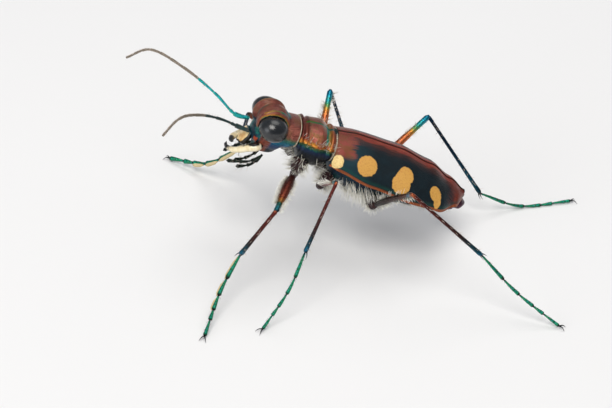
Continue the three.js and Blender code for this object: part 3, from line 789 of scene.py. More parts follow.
def head_material():
    """Wrinkled copper above, blue cheeks and face, and a thin gold and green line on each brow plate."""
    material, tree, shader = new_material("head_horn")
    place, along, out, height = place_of(tree)
    mottle = grained(tree, shader, place, 15.0, 0.02, 0.3)
    folds = wrinkles(tree, place, (0.7, 6.5, 2.6), 3.0)
    fold_bump(tree, shader, folds, 0.22)
    beside = wire(tree, "Math", {0: out}, operation="ABSOLUTE")
    level = ragged(tree, height, folds, 0.06)
    eye_gap = ragged(tree, wire(tree, "Attribute", out=2, attribute_name="from_eye"), folds, 0.024)
    base = mottled(tree, mottle, [(0.0, "743a30"), (0.5, "8e5044"), (1.0, "84583e")])
    eye_rim = product(tree, fade(tree, height, 0.55, 0.85), until(tree, eye_gap, 0.2, 0.3))
    base = blend(tree, eye_rim, base, ramp(tree, fade(tree, eye_gap, 0.0, 0.3), eye_rim_colours))
    plate_line = stripe(tree, ragged(tree, beside, folds, 0.06), (0.80, 0.85), (0.9, 0.97))
    plate_rim = product(tree, plate_line, fade(tree, height, 1.05, 1.25))
    base = blend(tree, plate_rim, base, ramp(tree, fade(tree, along, 3.9, 5.8), plate_rim_colours))
    black_seam = until(tree, eye_gap, 0.05, 0.09)
    base = blend(tree, black_seam, base, "070606")
    brow_foot = stripe(tree, beside, (0.3, 0.36), (0.42, 0.5))
    brow_foot = product(tree, brow_foot, fade(tree, along, 5.1, 5.4), fade(tree, height, -0.1, 0.2), 0.45)
    base = blend(tree, brow_foot, base, "147a6c")
    nape = product(tree, until(tree, beside, 0.2, 0.5), stripe(tree, along, (3.5, 3.7), (3.95, 4.2)))
    nape = product(tree, nape, fade(tree, height, 0.5, 0.8))
    base = blend(tree, nape, base, "1b6f72")
    cheek = product(tree, until(tree, level, -0.35, 0.1), until(tree, along, 4.5, 4.75))
    base = blend(tree, cheek, base, ramp(tree, fade(tree, height, -1.7, 0.0), cheek_colours))
    chin = product(tree, until(tree, level, -0.9, -0.6), fade(tree, along, 4.7, 4.9))
    base = blend(tree, chin, base, mottled(tree, mottle, [(0.0, "7a3626"), (1.0, "a05238")], 0.35, 0.65))
    face = product(tree, fade(tree, along, 5.25, 5.5), until(tree, level, -0.1, 0.1))
    base = blend(tree, face, base, mottled(tree, mottle, face_colours, 0.35, 0.65))
    jaw_socket = product(tree, fade(tree, beside, 0.76, 0.82), fade(tree, along, 5.5, 5.58))
    jaw_socket = product(tree, jaw_socket, until(tree, height, -0.8, -0.68))
    base = blend(tree, jaw_socket, base, "c4502a")
    paint(tree, shader, base, metallic=0.75, coat_weight=0.2, coat_roughness=0.2)
    return material


horn = head_material()
head = piece("head_horn", stand_head(head_points), head_faces, horn, ["head"], head_points)
eye_gaps = head.data.attributes.new("from_eye", "FLOAT", "POINT")
eye_gaps.data.foreach_set("value", np.maximum(from_eye, 0).astype(np.float32))


# Eyes: two big domes of dark grey glassy facets, each in a thin black seam under the brow plate.
eye_fit = 0.985
facet_depth = 0.006


def eye_material():
    """Near black glass, painted a little paler towards the top as light falling from above, with a fine net
    of facets.
    """
    material, tree, shader = new_material("eye_facets")
    place, _, _, height = place_of(tree)
    facets = wire(tree, "TexVoronoi", {"Vector": place, "Scale": 38.0}, feature="F1")
    bump = wire(tree, "Bump", {"Height": facets, "Strength": 0.35, "Distance": facet_depth * millimetre})
    tree.links.new(bump, shader.inputs["Normal"])
    cloud = wire(tree, "TexNoise", {"Vector": place, "Scale": 1.1, "Detail": 3.0})
    tree.links.new(fade(tree, cloud, 0.35, 0.65, 0.2, 0.36), shader.inputs["Roughness"])
    # Painted light: the eye's grey is made paler towards its top, as if lit from above.
    painted_top_light = ragged(tree, fade(tree, height, -0.9, 0.7), cloud, 0.25)
    greys = ramp(tree, painted_top_light, [(0.0, "040505"), (0.45, "0c0d0f"), (1.0, "191c1f")])
    paint(tree, shader, greys, coat_weight=0.35, coat_roughness=0.14)
    return material


eye_glass = eye_material()
for word, turn in (("left", np.ones(3)), ("right", mirrored)):
    points, faces = closed_skin(ball(eye_centre * turn, eye_half * eye_fit, 90, 120))
    piece(word + "_eye_dome", stand_head(points), faces, eye_glass, [word + "_eye"], points)


# Mouth: a pale lip plate with black teeth, two crossed ivory sickles with black tips, and the jointed
# palps, black with a green sheen. All are hard pieces hinged under the face.
def run_along(path):
    """How far along a path each of its points is."""
    return np.concatenate([[0], np.cumsum(np.linalg.norm(np.diff(path, axis=0), axis=1))])


def spline(points, count):
    """Even stations along a smooth curve through points."""
    points = np.asarray(points, float)
    padded = np.vstack([2 * points[0] - points[1], points, 2 * points[-1] - points[-2]])
    fine = []
    for p0, p1, p2, p3 in zip(padded, padded[1:], padded[2:], padded[3:]):
        d0, d1, d2 = (np.linalg.norm(b - a) ** 0.5 for a, b in ((p0, p1), (p1, p2), (p2, p3)))
        m1 = ((p1 - p0) / d0 - (p2 - p0) / (d0 + d1) + (p2 - p1) / d1) * d1
        m2 = ((p2 - p1) / d1 - (p3 - p1) / (d1 + d2) + (p3 - p2) / d2) * d1
        t = np.linspace(0, 1, 60, endpoint=False)[:, None]
        leaving = (2 * t**3 - 3 * t**2 + 1) * p1 + (t**3 - 2 * t**2 + t) * m1
        arriving = (3 * t**2 - 2 * t**3) * p2 + (t**3 - t**2) * m2
        fine.append(leaving + arriving)
    fine = np.vstack(fine + [points[-1:]])
    run = run_along(fine)
    even = np.linspace(0, run[-1], count)
    return np.stack([np.interp(even, run, fine[:, k]) for k in range(3)], -1)


def swept(path, radii, sides, flat):
    """Rings along a path: one radius for each station, flattened from above."""
    ahead = np.gradient(path, axis=0)
    ahead /= np.linalg.norm(ahead, axis=1, keepdims=True)
    side = np.cross(ahead, [0, 0, 1.0])
    side /= np.linalg.norm(side, axis=1, keepdims=True)
    over = np.cross(side, ahead)
    turn = np.linspace(0, 2 * np.pi, sides, endpoint=False)[None, :, None]
    radii = np.asarray(radii, float)[:, None, None]
    return path[:, None] + radii * (np.cos(turn) * side[:, None] + flat * np.sin(turn) * over[:, None])


whole_limb = 10


def limb_skin(path, radii, sides=24, flat=1.0):
    """The closed skin of a limb, with its own coordinates: tenths of its whole length, and round it."""
    rings = swept(path, radii, sides, flat)
    points, faces = closed_skin(rings)
    centres = rings.mean(axis=1)
    run = run_along(centres)
    along = (run * whole_limb / run[-1])[:, None]
    reach = np.linalg.norm(rings - centres[:, None], axis=-1)
    turn = np.linspace(0, 2 * np.pi, sides, endpoint=False)
    place = np.stack([np.broadcast_to(along, reach.shape), reach * np.cos(turn), reach * np.sin(turn)], -1)
    return points, faces, np.vstack([place.reshape(-1, 3), [[0, 0, 0], [whole_limb, 0, 0]]])


def hook(knots, base, tip, count=12, sides=12, flat=1.0):
    """A pointed tooth, spur or claw, with the colour of a limb's far end all along."""
    points, faces, place = limb_skin(spline(knots, count), np.linspace(base, tip, count), sides, flat)
    place[:, 0] = whole_limb
    return points, faces, place


def joined(parts):
    """Several (points, faces, place) parts as one."""
    points, faces, place, start = [], [], [], 0
    for part_points, part_faces, part_place in parts:
        faces += [tuple(i + start for i in face) for face in part_faces]
        points.append(part_points)
        place.append(part_place)
        start += len(part_points)
    return np.vstack(points), faces, np.vstack(place)


def jaw_material():
    """Glossy ivory, black at the tip, the root and the thin edges."""
    material, tree, shader = new_material("jaw_ivory")
    place, along, _, over = place_of(tree)
    mottle = grained(tree, shader, place, 9.0, 0.003, 0.3)
    ivory = mottled(tree, mottle, [(0.0, "e2cfa2"), (0.5, "ecdcb6"), (1.0, "f3e8cc")])
    tip = fade(tree, ragged(tree, along, mottle, 0.5), 6.9, 7.7)
    height = wire(tree, "Math", {0: over}, operation="ABSOLUTE")
    rims = fade(tree, ragged(tree, height, mottle, 0.025), 0.21, 0.27)
    inner = math_node(tree, "MAXIMUM", rims, until(tree, along, 0.3, 0.8))
    dark = math_node(tree, "MAXIMUM", tip, inner)
    paint(tree, shader, blend(tree, dark, ivory, "0b0807"), coat_weight=0.5, coat_roughness=0.12)
    return material


jaw_ivory = jaw_material()
jaw_radii = [
    *[(0, 0.08), (0.05, 0.28), (0.14, 0.38), (0.4, 0.32)],
    *[(0.6, 0.25), (0.8, 0.19), (0.92, 0.12), (1, 0.015)],
]
jaw_stations = 60
jaw_flatness = 0.8
# Each jaw: its side, and how far it is lifted where it crosses the other.
jaw_lifts = {"left": (1, -0.35), "right": (-1, 0.4)}
# Each tooth: its station along the jaw, and its length.
jaw_teeth = [(26, 0.5), (34, 0.42), (41, 0.3)]
for word, (side, lift) in jaw_lifts.items():
    knots = [
        (4.95, side * 1.0, -1.2),
        (5.8, side * 1.0, -1.62),
        (6.65, side * 0.5, -2.1 + lift * 0.7),
        (6.98, side * -0.3, -2.2 + lift),
        (6.92, side * -0.62, -2.06 + lift),
    ]
    path = spline(knots, jaw_stations)
    parts = [limb_skin(path, through(jaw_radii, np.linspace(0, 1, jaw_stations)), flat=jaw_flatness)]
    for at, long in jaw_teeth:
        root = path[at]
        tooth = [root, root + [0.02, -side * long * 0.6, 0.02], root + [0.16, -side * long, 0.06]]
        parts.append(hook(tooth, 0.17, 0.01, flat=0.7))
    points, faces, place = joined(parts)
    piece(word + "_jaw_sickle", stand_head(points), faces, jaw_ivory, [word + "_jaw"], place)

lip_root = np.array([5.98, -0.06, -0.76])
lip_slope = math.radians(62)
lip_width = 1.5
lip_length = 1.1
lip_thickness = 0.26
tooth_length = 0.10


def lip_material():
    """Cream horn with a black toothed edge and a dark teal root; its place is along, out, from the edge."""
    material, tree, shader = new_material("lip_plate")
    place, along, _, edge = place_of(tree)
    mottle = grained(tree, shader, place, 12.0, 0.015, 0.3)
    cream = mottled(tree, mottle, [(0.0, "c98636"), (0.45, "e3b878"), (1.0, "efd6a4")])
    black = until(tree, ragged(tree, edge, mottle, 0.06), 0.09, 0.15)
    base = blend(tree, black, cream, "0a0806")
    base = blend(tree, until(tree, along, 0.02, 0.14), base, "0f3a44")
    paint(tree, shader, base, coat_weight=0.4, coat_roughness=0.15)
    return material


along = np.linspace(0, 1, 50)[:, None]
across_share = np.linspace(-1, 1, 61)[None, :]
outer_share = np.abs(across_share)
teeth_row = tooth_length * np.cos(across_share * np.pi * 1.5) ** 2 * (1 - 0.35 * outer_share)
reach = lip_length * (0.86 + 0.14 * (1 - across_share**2)) + teeth_row
half = lip_width / 2 * (0.72 + 0.28 * np.sin(np.clip(along * 2.2, 0, 1) * np.pi / 2) - 0.16 * along**4)
lip_x = along * reach
lip_y = half * across_share
lip_z = 0.10 * (1 - across_share**2) - 0.10 * along**2
lip_edge = np.minimum(half * (1 - outer_share), reach - lip_x)
lip_top = np.stack(np.broadcast_arrays(lip_x, lip_y, lip_z), -1)
lip_place = np.stack(np.broadcast_arrays(lip_x, lip_y, lip_edge), -1)
lip_turn = np.array(Matrix.Rotation(lip_slope, 3, "Y"))
lip_faces = [face @ lip_turn.T + lip_root for face in (lip_top, lip_top - [0, 0, lip_thickness])]
points, quads = shell(*lip_faces)
faces = faces_out(points, quads)
place = np.tile(lip_place.reshape(-1, 3), (2, 1))
piece("lip_plate", stand_head(points), faces, lip_material(), ["upper_lip"], place)

palp_paths = {
    "outer": [(4.75, 0.98, -2.0), (5.35, 1.2, -2.45), (6.1, 1.05, -2.85), (6.85, 0.65, -3.2)],
    "inner": [(4.5, 0.42, -2.2), (4.8, 0.5, -2.85), (5.3, 0.48, -3.3), (5.95, 0.42, -3.6)],
}
# Each joint of a palp swells towards its end and is pinched where the next one starts.
palp_keys = [
    *[(0, 0.08), (0.16, 0.10), (0.3, 0.13), (0.33, 0.06), (0.5, 0.10)],
    *[(0.62, 0.13), (0.655, 0.06), (0.8, 0.11), (0.94, 0.14), (1, 0.04)],
]
palp_stations = 80
palp_radii = through(palp_keys, np.linspace(0, 1, palp_stations))
palp_colours = [(0.0, "050706"), (0.6, "0c1a12"), (1.0, "1a3a20")]
palp_horn = body_horn("palp_horn", palp_colours, roughness=0.22, metal=0.5)
palps = []
for word, side in (("left", 1), ("right", -1)):
    for part, knots in palp_paths.items():
        path = spline([(x, side * y, z) for x, y, z in knots], palp_stations)
        points, faces, place = limb_skin(path, palp_radii)
        name = f"{word}_{part}_palp"
        piece(name + "_horn", stand_head(points), faces, palp_horn, [name], place)
        palps.append((stand_head(path), palp_radii))


# Antennae: eleven thin joints of horn each, threaded end to end. The first four are bare and metallic,
# the rest are felted grey.
antenna_segments = [1.25, 0.38, 1.7, 1.5, 1.4, 1.1, 0.85, 0.8, 0.65, 0.6, 0.75]
antenna_radii = [0.17, 0.12, 0.105, 0.10] + [0.105 - 0.004 * joint for joint in range(7)]
antenna_swell = [(0, 0.7), (0.12, 0.82), (0.85, 1.0), (0.96, 0.98), (1, 0.7)]
antenna_points = {
    "left": [
        *[(6.12, 0.95, -0.54), (6.8, 0.6, -0.66), (8.12, 0.76, -0.42)],
        *[(10.32, 2.47, 0.27), (12.0, 4.55, 0.6), (12.56, 4.7, -0.84)],
    ],
    "right": [
        *[(6.0, -0.82, -0.54), (7.1, -0.65, -0.45), (8.66, -1.4, 0.17)],
        *[(11.18, -2.7, 0.73), (13.6, -4.0, 0.62), (14.8, -4.4, -0.73)],
    ],
}
antenna_nodes = {"scape": (0, 1), "shaft": (1, 4), "lash": (4, 11)}
# The left antenna's horn is painted darker and greyer than the right one's teal: painted shade, as both
# antennae are the same teal.
antenna_dusk = [(0.0, "2c3432"), (0.5, "23474a"), (1.0, "54463a")]
antenna_teal = [(0.0, "127c90"), (0.4, "1fb4c4"), (0.75, "2cb08a"), (1.0, "146a8c")]
# The left antenna gets the horn with the painted shade.
stem_horns = {
    "left": body_horn("antenna_dusk", antenna_dusk, roughness=0.35, metal=0.6),
    "right": body_horn("antenna_teal", antenna_teal, roughness=0.24, metal=0.75),
}


def felt_material():
    """Dull grey brown felt of very short hairs."""
    material, tree, shader = new_material("antenna_felt")
    fuzz = wire(tree, "TexNoise", {"Vector": place_of(tree)[0], "Scale": 30.0, "Detail": 5.0})
    bump = wire(tree, "Bump", {"Height": fuzz, "Strength": 0.6, "Distance": 0.02 * millimetre})
    tree.links.new(bump, shader.inputs["Normal"])
    greys = ramp(tree, fuzz, [(0.3, "4a4238"), (0.55, "7a7062"), (0.75, "9a9080")])
    paint(tree, shader, greys, roughness=0.75)
    return material


lash_felt = felt_material()
antenna_stations = 600
antenna_total = sum(antenna_segments)
antenna_paths = {}
for word, knots in antenna_points.items():
    path = spline(knots, antenna_stations)
    antenna_paths[word] = path
    for part, (first, last) in antenna_nodes.items():
        segments = []
        for joint in range(first, last):
            shares = [sum(antenna_segments[:k]) / antenna_total for k in (joint, joint + 1)]
            start, stop = (int(share * (antenna_stations - 1)) for share in shares)
            stations = path[start : stop + 1]
            radii = antenna_radii[joint] * through(antenna_swell, np.linspace(0, 1, len(stations)))
            segments.append(limb_skin(stations, radii, 18))
        points, faces, place = joined(segments)
        horn, slot = (lash_felt, "dull_grey") if part == "lash" else (stem_horns[word], "teal")
        name = f"{word}_antenna_{part}"
        piece(name + "_horn", stand(points), faces, horn, [name], place)


# Legs: six long thin legs of coppery horn. Each has a hairy root piece, a spindle of a thigh, a thin
# shin with two spurs, and a foot of five joints with two claws, hinged end to end.
# The lengths are the thigh's, the shin's and the foot's. The radii are the root's, the thigh's, the
# shin's and the foot's. The thighs and the front feet are not the same on both sides.
leg_sizes = {
    "front": {
        "socket": (1.85, 0.95, -1.5),
        "hip": (2.05, 1.4, -2.45),
        "lengths": (4.35, 4.0, 6.35),
        "radii": {"left": (0.6, 0.34, 0.15, 0.145), "right": (0.6, 0.32, 0.15, 0.175)},
    },
    "middle": {
        "socket": (-0.7, 0.85, -2.1),
        "hip": (0.0, 1.5, -2.7),
        "lengths": (5.2, 5.2, 6.0),
        "radii": {"left": (0.58, 0.19, 0.13, 0.125), "right": (0.58, 0.29, 0.13, 0.125)},
    },
    "hind": {
        "socket": (-4.0, 0.7, -2.5),
        "hip": (-3.95, 2.0, -2.75),
        "lengths": (6.35, 7.0, 7.5),
        "radii": {"left": (0.58, 0.22, 0.13, 0.125), "right": (0.58, 0.29, 0.13, 0.125)},
    },
}
# Each leg's bearing and rise of the thigh and of the shin, the bearing of the foot, and the foot's bow.
leg_aims = {
    "left_front": ((71, -2), (21, -54), 65, (0.25, 0, 0)),
    "left_middle": ((98, 40), (54, -52), 43, (-0.25, 0, -0.2)),
    "left_hind": ((114, 43.5), (173, -40), 161, (0, 0, -0.4)),
    "right_front": ((47, 12), (68, -76), 32, (0, 0, -0.9)),
    "right_middle": ((104, 48), (146, -68), 110, (0, 0, -0.5)),
    "right_hind": ((141, 26), (-155, -48), 166, (0, 0, -0.85)),
}
toe_height = 0.2
foot_shares = [0.32, 0.21, 0.17, 0.12, 0.18]


def leg_aim(degrees, side):
    """A unit aim from degrees round from straight ahead, and degrees above level."""
    away, above = np.radians(degrees)
    return np.array([np.cos(away) * np.cos(above), side * np.sin(away) * np.cos(above), np.sin(above)])


def limb_material(name, stops):
    """Metallic horn whose colour runs along the limb."""
    material, tree, shader = new_material(name)
    place, along, _, _ = place_of(tree)
    mottle = grained(tree, shader, place, 12.0, 0.015, 0.25)
    share = wire(tree, "MapRange", {0: ragged(tree, along, mottle, 0.4), 2: float(whole_limb)})
    paint(tree, shader, ramp(tree, share, stops), metallic=0.8)
    return material


deep_copper = [(0.0, "2c1512"), (0.5, "5c261e"), (0.85, "5a3020"), (1.0, "2a2a24")]
black_brown = [
    *[(0.0, "140c0c"), (0.3, "241412"), (0.7, "3a1e18"), (0.86, "5a3420")],
    *[(0.92, "4a7a90"), (0.97, "a0603a"), (1.0, "5a3020")],
]
dark_copper = [
    *[(0.0, "2c1512"), (0.3, "5c261e"), (0.62, "7a3826"), (0.76, "96602a")],
    *[(0.82, "2a4a30"), (0.9, "14707c"), (1.0, "0c1a26")],
]
bright_copper = [
    *[(0.0, "7a3430"), (0.35, "a84c36"), (0.6, "b8663a"), (0.72, "c08a34")],
    *[(0.79, "3f8a58"), (0.88, "128aa0"), (1.0, "0f4a6c")],
]
copper_shin = [
    *[(0.0, "a85838"), (0.05, "5c2420"), (0.5, "46201c"), (0.75, "2a2426")],
    *[(0.9, "12404c"), (0.97, "145a74"), (1.0, "0a1216")],
]
blue_shin = [(0.0, "123a56"), (0.1, "0e2438"), (0.5, "102c40"), (0.85, "124a5c"), (1.0, "0a1216")]
thigh_horns = {
    "right_front": limb_material("thigh_deep_copper", deep_copper),
    "left_hind": limb_material("thigh_black_brown", black_brown),
    "left": limb_material("thigh_dark_copper", dark_copper),
    "right": limb_material("thigh_bright_copper", bright_copper),
}
shin_horns = {
    "left": limb_material("shin_dark_copper", copper_shin),
    "right": limb_material("shin_dark_blue", blue_shin),
}
coxa_colours = [(0.0, "1c0e0c"), (0.5, "3c1a16"), (1.0, "16202c")]
coxa_horn = body_horn("coxa_horn", coxa_colours, roughness=0.3, metal=0.5)


def foot_material():
    """Metallic green, black where one joint meets the next."""
    material, tree, shader = new_material("foot_green")
    place, along, _, _ = place_of(tree)
    mottle = grained(tree, shader, place, 12.0, 0.012, 0.22)
    green = mottled(tree, mottle, [(0.0, "0f5c4a"), (0.5, "1f8a5c"), (1.0, "12707c")])
    dark = math_node(tree, "MAXIMUM", fade(tree, along, 8.6, 9.6), until(tree, along, 0.2, 1.2))
    paint(tree, shader, blend(tree, dark, green, "081216"), metallic=0.85)
    return material


foot_green = foot_material()
foot_pad, tree, shader = new_material("foot_pad")
nap = wire(tree, "TexNoise", {"Vector": place_of(tree)[0], "Scale": 20.0, "Detail": 4.0})
paint(tree, shader, ramp(tree, nap, [(0.3, "b09a70"), (0.7, "dccba0")]), roughness=0.8)
root_keys = [(0, 0.95), (0.4, 1.0), (0.75, 0.7), (1, 0.3)]
hinge_keys = [(0, 0.5), (0.3, 1.0), (0.7, 0.85), (1, 0.5)]
hinge_radius = 0.30
thigh_least = [(0, 1), (0.97, 1), (1, 0.6)]
shin_keys = [(0, 0.7), (0.04, 1.05), (0.1, 0.92), (0.5, 0.95), (0.85, 1.1), (0.97, 1.25), (1, 0.8)]
joint_keys = [(0, 0.42), (0.1, 0.6), (0.7, 0.95), (0.9, 1.08), (0.97, 0.9), (1, 0.4)]
pad_keys = [(0, 0.4), (0.3, 0.95), (0.8, 1.05), (1, 0.5)]
pad_sides = {"left": np.array([0.75, 0, -0.5]), "right": np.array([0.3, 0.75, -0.3])}
padded_joints = 3
foot_stations = 240


def leg_root(name, socket, hip, aim, radius):
    """The root piece in its socket, and the small ring that hinges the thigh to it."""
    path = spline([socket, socket * 0.45 + hip * 0.55, hip], 40)
    radii = radius * through(root_keys, np.linspace(0, 1, 40))
    ring_path = spline([hip - aim * 0.22, hip + aim * 0.1, hip + aim * 0.5], 24)
    ring_radii = hinge_radius * through(hinge_keys, np.linspace(0, 1, 24))
    points, faces, place = joined([limb_skin(path, radii), limb_skin(ring_path, ring_radii)])
    piece(name + "_coxa_horn", points, faces, coxa_horn, [name + "_coxa"], place)
    return path, radii


def leg_thigh(name, hip, knee, aim, radius, shin_radius):
    """The thigh: a slightly arched spindle, nearly as thin as the shin at the knee."""
    arch = np.array([0, 0, 0.015]) * np.linalg.norm(knee - hip)
    path = spline([hip + aim * 0.35, (hip + knee) / 2 + arch, knee + aim * 0.06], 90)
    slim = 0.56 if "front" in name else 0.72
    keys = [(0, 0.45), (0.08, 0.8), (0.28, 1.0), (0.55, 0.9), (0.8, slim), (0.96, slim), (1, slim * 0.5)]
    share = np.linspace(0, 1, 90)
    radii = np.maximum(radius * through(keys, share), shin_radius * 0.9 * through(thigh_least, share))
    points, faces, place = limb_skin(path, radii)
    horn = thigh_horns.get(name, thigh_horns[name.split("_")[0]])
    piece(name + "_thigh_horn", points, faces, horn, [name + "_thigh"], place)
    return path, radii


def leg_shin(name, knee, ankle, aim, foot_aim, radius):
    """The shin: a thin rod that widens at its end, with two spurs there on the side away from the foot."""
    path = spline([knee - aim * 0.03, (knee + ankle) / 2, ankle], 90)
    radii = radius * through(shin_keys, np.linspace(0, 1, 90))
    beside = np.cross(aim, foot_aim)
    beside /= np.linalg.norm(beside)
    parts = [limb_skin(path, radii)]
    for turn in (1, -1):
        out = beside * turn * 0.7 - np.cross(beside, aim) * 0.7
        root = ankle - aim * 0.12 + out * radius * 0.7
        spur = [root, root + aim * 0.28 + out * 0.12, root + aim * 0.55 + out * 0.16]
        parts.append(hook(spur, 0.05, 0.006, sides=10))
    points, faces, place = joined(parts)
    horn = shin_horns[name.split("_")[0]]
    piece(name + "_shin_horn", points, faces, horn, [name + "_shin"], place)
    return path, radii


def leg_foot(name, ankle, toe, aim, bow, radius):
    """The foot: five joints that each widen towards the next, two claws, and pale pads on a front foot."""
    path = spline([ankle - aim * 0.02, ankle * 0.55 + toe * 0.45 + bow, toe], foot_stations)
    last = foot_stations - 1
    joints, pads, start = [], [], 0.0
    for number, share in enumerate(foot_shares):
        stations = path[int(start * last) : int((start + share) * last) + 1]
        wide = radius * (0.9 if number == len(foot_shares) - 1 else 1.0)
        radii = wide * through(joint_keys, np.linspace(0, 1, len(stations)))
        joints.append(limb_skin(stations, radii, 18))
        if "front" in name and number < padded_joints:
            below = stations[6:-2] + pad_sides[name.split("_")[0]] * radius
            pad_radii = wide * through(pad_keys, np.linspace(0, 1, len(below)))
            pads.append(limb_skin(below, pad_radii, 16, 0.75))
        start += share
    ahead = np.array([*(path[-1] - path[-20])[:2], 0])
    ahead /= np.linalg.norm(ahead)
    wards = np.cross([0, 0, 1], ahead)
    for turn in (1, -1):
        knuckle = toe + ahead * 0.26 + wards * turn * 0.13 + [0, 0, 0.03]
        point = toe + ahead * 0.46 + wards * turn * 0.25 + [0, 0, -0.17]
        joints.append(hook([toe, knuckle, point], 0.055, 0.008, count=20))
    points, faces, place = joined(joints)
    piece(name + "_foot_horn", points, faces, foot_green, [name + "_foot"], place)
    if pads:
        points, faces, place = joined(pads)
        piece(name + "_foot_pads", points, faces, foot_pad, [], place)
    return path, np.full(len(path), radius * 0.8)


legs = {}
for name, (thigh_way, shin_way, foot_way, bow) in leg_aims.items():
    word, pair = name.split("_")
    side = 1 if word == "left" else -1
    sizes = leg_sizes[pair]
    thigh_length, shin_length, foot_length = sizes["lengths"]
    root_radius, thigh_radius, shin_radius, foot_radius = sizes["radii"][word]
    socket, hip = (stand(np.array(sizes[key]) * [1, side, 1]) for key in ("socket", "hip"))
    thigh_aim = leg_aim(thigh_way, side)
    shin_aim = leg_aim(shin_way, side)
    knee = hip + thigh_aim * thigh_length
    ankle = knee + shin_aim * shin_length
    drop = math.degrees(math.asin((toe_height - ankle[2]) / foot_length))
    toe = ankle + leg_aim((foot_way, drop), side) * foot_length
    foot_aim = (toe - ankle) / np.linalg.norm(toe - ankle)
    legs[name] = {
        "coxa": leg_root(name, socket, hip, thigh_aim, root_radius),
        "thigh": leg_thigh(name, hip, knee, thigh_aim, thigh_radius, shin_radius),
        "shin": leg_shin(name, knee, ankle, shin_aim, foot_aim, shin_radius),
        "foot": leg_foot(name, ankle, toe, foot_aim, bow, foot_radius),
    }


# Hair: stiff white bristles and soft white fur of hollow hair, rooted in pits of the horn. It is thick
# on the leg roots, the chest and the belly's sides, and stands in rows along the thighs and shins.
patch_size = 0.003
hair_sides = 3


def strands(roots, aims, lengths, thick, droop):
    """Thin tapered hairs as one mesh: points, faces, places along and round, and points in each hair."""
    sides = hair_sides
    aims = aims / np.linalg.norm(aims, axis=1, keepdims=True)
    helper = np.where(np.abs(aims[:, 2:]) < 0.8, [[0, 0, 1.0]], [[1.0, 0, 0]])
    first = np.cross(aims, helper)
    first /= np.linalg.norm(first, axis=1, keepdims=True)
    second = np.cross(aims, first)
    stations = np.array([0.0, 0.4, 0.75])
    turn = np.arange(sides) / sides * 2 * np.pi
    lengths = np.broadcast_to(np.asarray(lengths, float), (len(roots),))
    thick = np.broadcast_to(np.asarray(thick, float), (len(roots),))

    def centre(s):
        return roots + aims * (lengths * s)[:, None] + np.asarray(droop) * (lengths * s * s)[:, None]

    rings = []
    for s, fat in zip(stations, (1.0, 0.8, 0.5)):
        around = np.cos(turn)[None, :, None] * first[:, None] + np.sin(turn)[None, :, None] * second[:, None]
        rings.append(centre(s)[:, None] + around * (thick * fat)[:, None, None])
    points = np.concatenate([*rings, centre(1.0)[:, None]], axis=1)
    each = points.shape[1]
    i = np.arange(sides)
    j = (i + 1) % sides
    start = (np.arange(len(roots)) * each)[:, None, None]
    quads = (grid_quads(len(stations), sides, wrap=True)[None] + start).reshape(-1, 4)
    tip = np.stack([2 * sides + i, 2 * sides + j, np.full(sides, each - 1)], -1)
    tips = (tip[None] + start).reshape(-1, 3)
    roots_closed = (np.array([[2, 1, 0]])[None] + start).reshape(-1, 3)
    along = np.concatenate([np.repeat(stations, sides), [1.0]])
    around_share = np.concatenate([np.tile(i / sides, 3), [0.5]])
    own = np.tile(np.stack([along, around_share], -1), (len(roots), 1))
    return points.reshape(-1, 3), [*quads.tolist(), *tips.tolist(), *roots_closed.tolist()], own, each


hair_tones = 97


def coat(name, parts, material):
    """One mesh of hairs from several (roots, aims, lengths, thickness, droop, root places) parts."""
    points, faces, uv, place, start = [], [], [], [], 0
    for roots, aims, lengths, thick, droop, root_uv in parts:
        part_points, part_faces, own, each = strands(roots, aims, lengths, thick, droop)
        faces += [[i + start for i in face] for face in part_faces]
        points.append(part_points)
        uv.append(np.repeat(root_uv, each, axis=0) + own * patch_size)
        number = np.repeat(np.arange(len(roots)) % hair_tones, each)
        place.append(np.column_stack([own[:, 0] * whole_limb, own[:, 1], number]))
        start += len(part_points)
    piece(name, np.vstack(points), faces, material, [], np.vstack(place), np.vstack(uv))


def hair_material(name, root, tip):
    """Hair that is paler towards its tip, each strand a little different."""
    material, tree, shader = new_material(name)
    _, along, _, number = place_of(tree)
    tone = wire(tree, "TexWhiteNoise", {1: number}, noise_dimensions="1D")
    base = blend(tree, fade(tree, along, 0.0, 8.0), root, tip)
    base = blend(tree, fade(tree, tone, 0.0, 1.0, 0.0, 0.25), base, "c8bea4")
    paint(tree, shader, base, roughness=0.45)
    return material


white_hair = hair_material("white_hair", "dcd8c8", "fbfaf4")
pale_hair = hair_material("pale_bristle", "b89a8c", "e8dcd0")
dark_hair = hair_material("dark_bristle", "1c1612", "6a5c48")
random = np.random.default_rng(7)


def sprout(rings, count, where):
    """Roots on a closed skin of rings, thickest where where(places) is largest, with normals and places."""
    normals = ring_normals(rings)
    after = np.roll(rings, -1, axis=1)
    corners = rings[:-1], after[:-1], after[1:], rings[1:]
    middle = sum(corners) / 4
    area = np.linalg.norm(np.cross(corners[2] - corners[0], corners[3] - corners[1]), axis=-1)
    weight = (area * where(middle)).ravel()
    chosen = random.choice(len(weight), count, p=weight / weight.sum())
    a, b = random.random((2, count, 1))
    flat = [corner.reshape(-1, 3)[chosen] for corner in corners]
    roots = (flat[0] * (1 - b) + flat[1] * b) * (1 - a) + (flat[3] * (1 - b) + flat[2] * b) * a
    rows, columns = rings.shape[:2]
    row, column = np.divmod(chosen, columns)
    uv = np.column_stack([(row + a[:, 0]) / rows, (column + b[:, 0]) / columns]) * 0.99
    return roots, normals[:-1].reshape(-1, 3)[chosen], uv


root_depth = 0.02


def fur(rings, count, where, length, lean, thick=0.014, droop=(0, 0, 0)):
    """Fur on a part of the body, in the body's frame, leaning one way, as a coat part."""
    roots, normals, uv = sprout(rings, count, where)
    aims = normals + np.asarray(lean) + random.normal(0, 0.22, (count, 3))
    lengths = random.uniform(*length, count)
    thickness = thick * random.uniform(0.8, 1.2, count)
    return stand(roots - normals * root_depth), aims @ turn_body.T, lengths, thickness, droop, uv


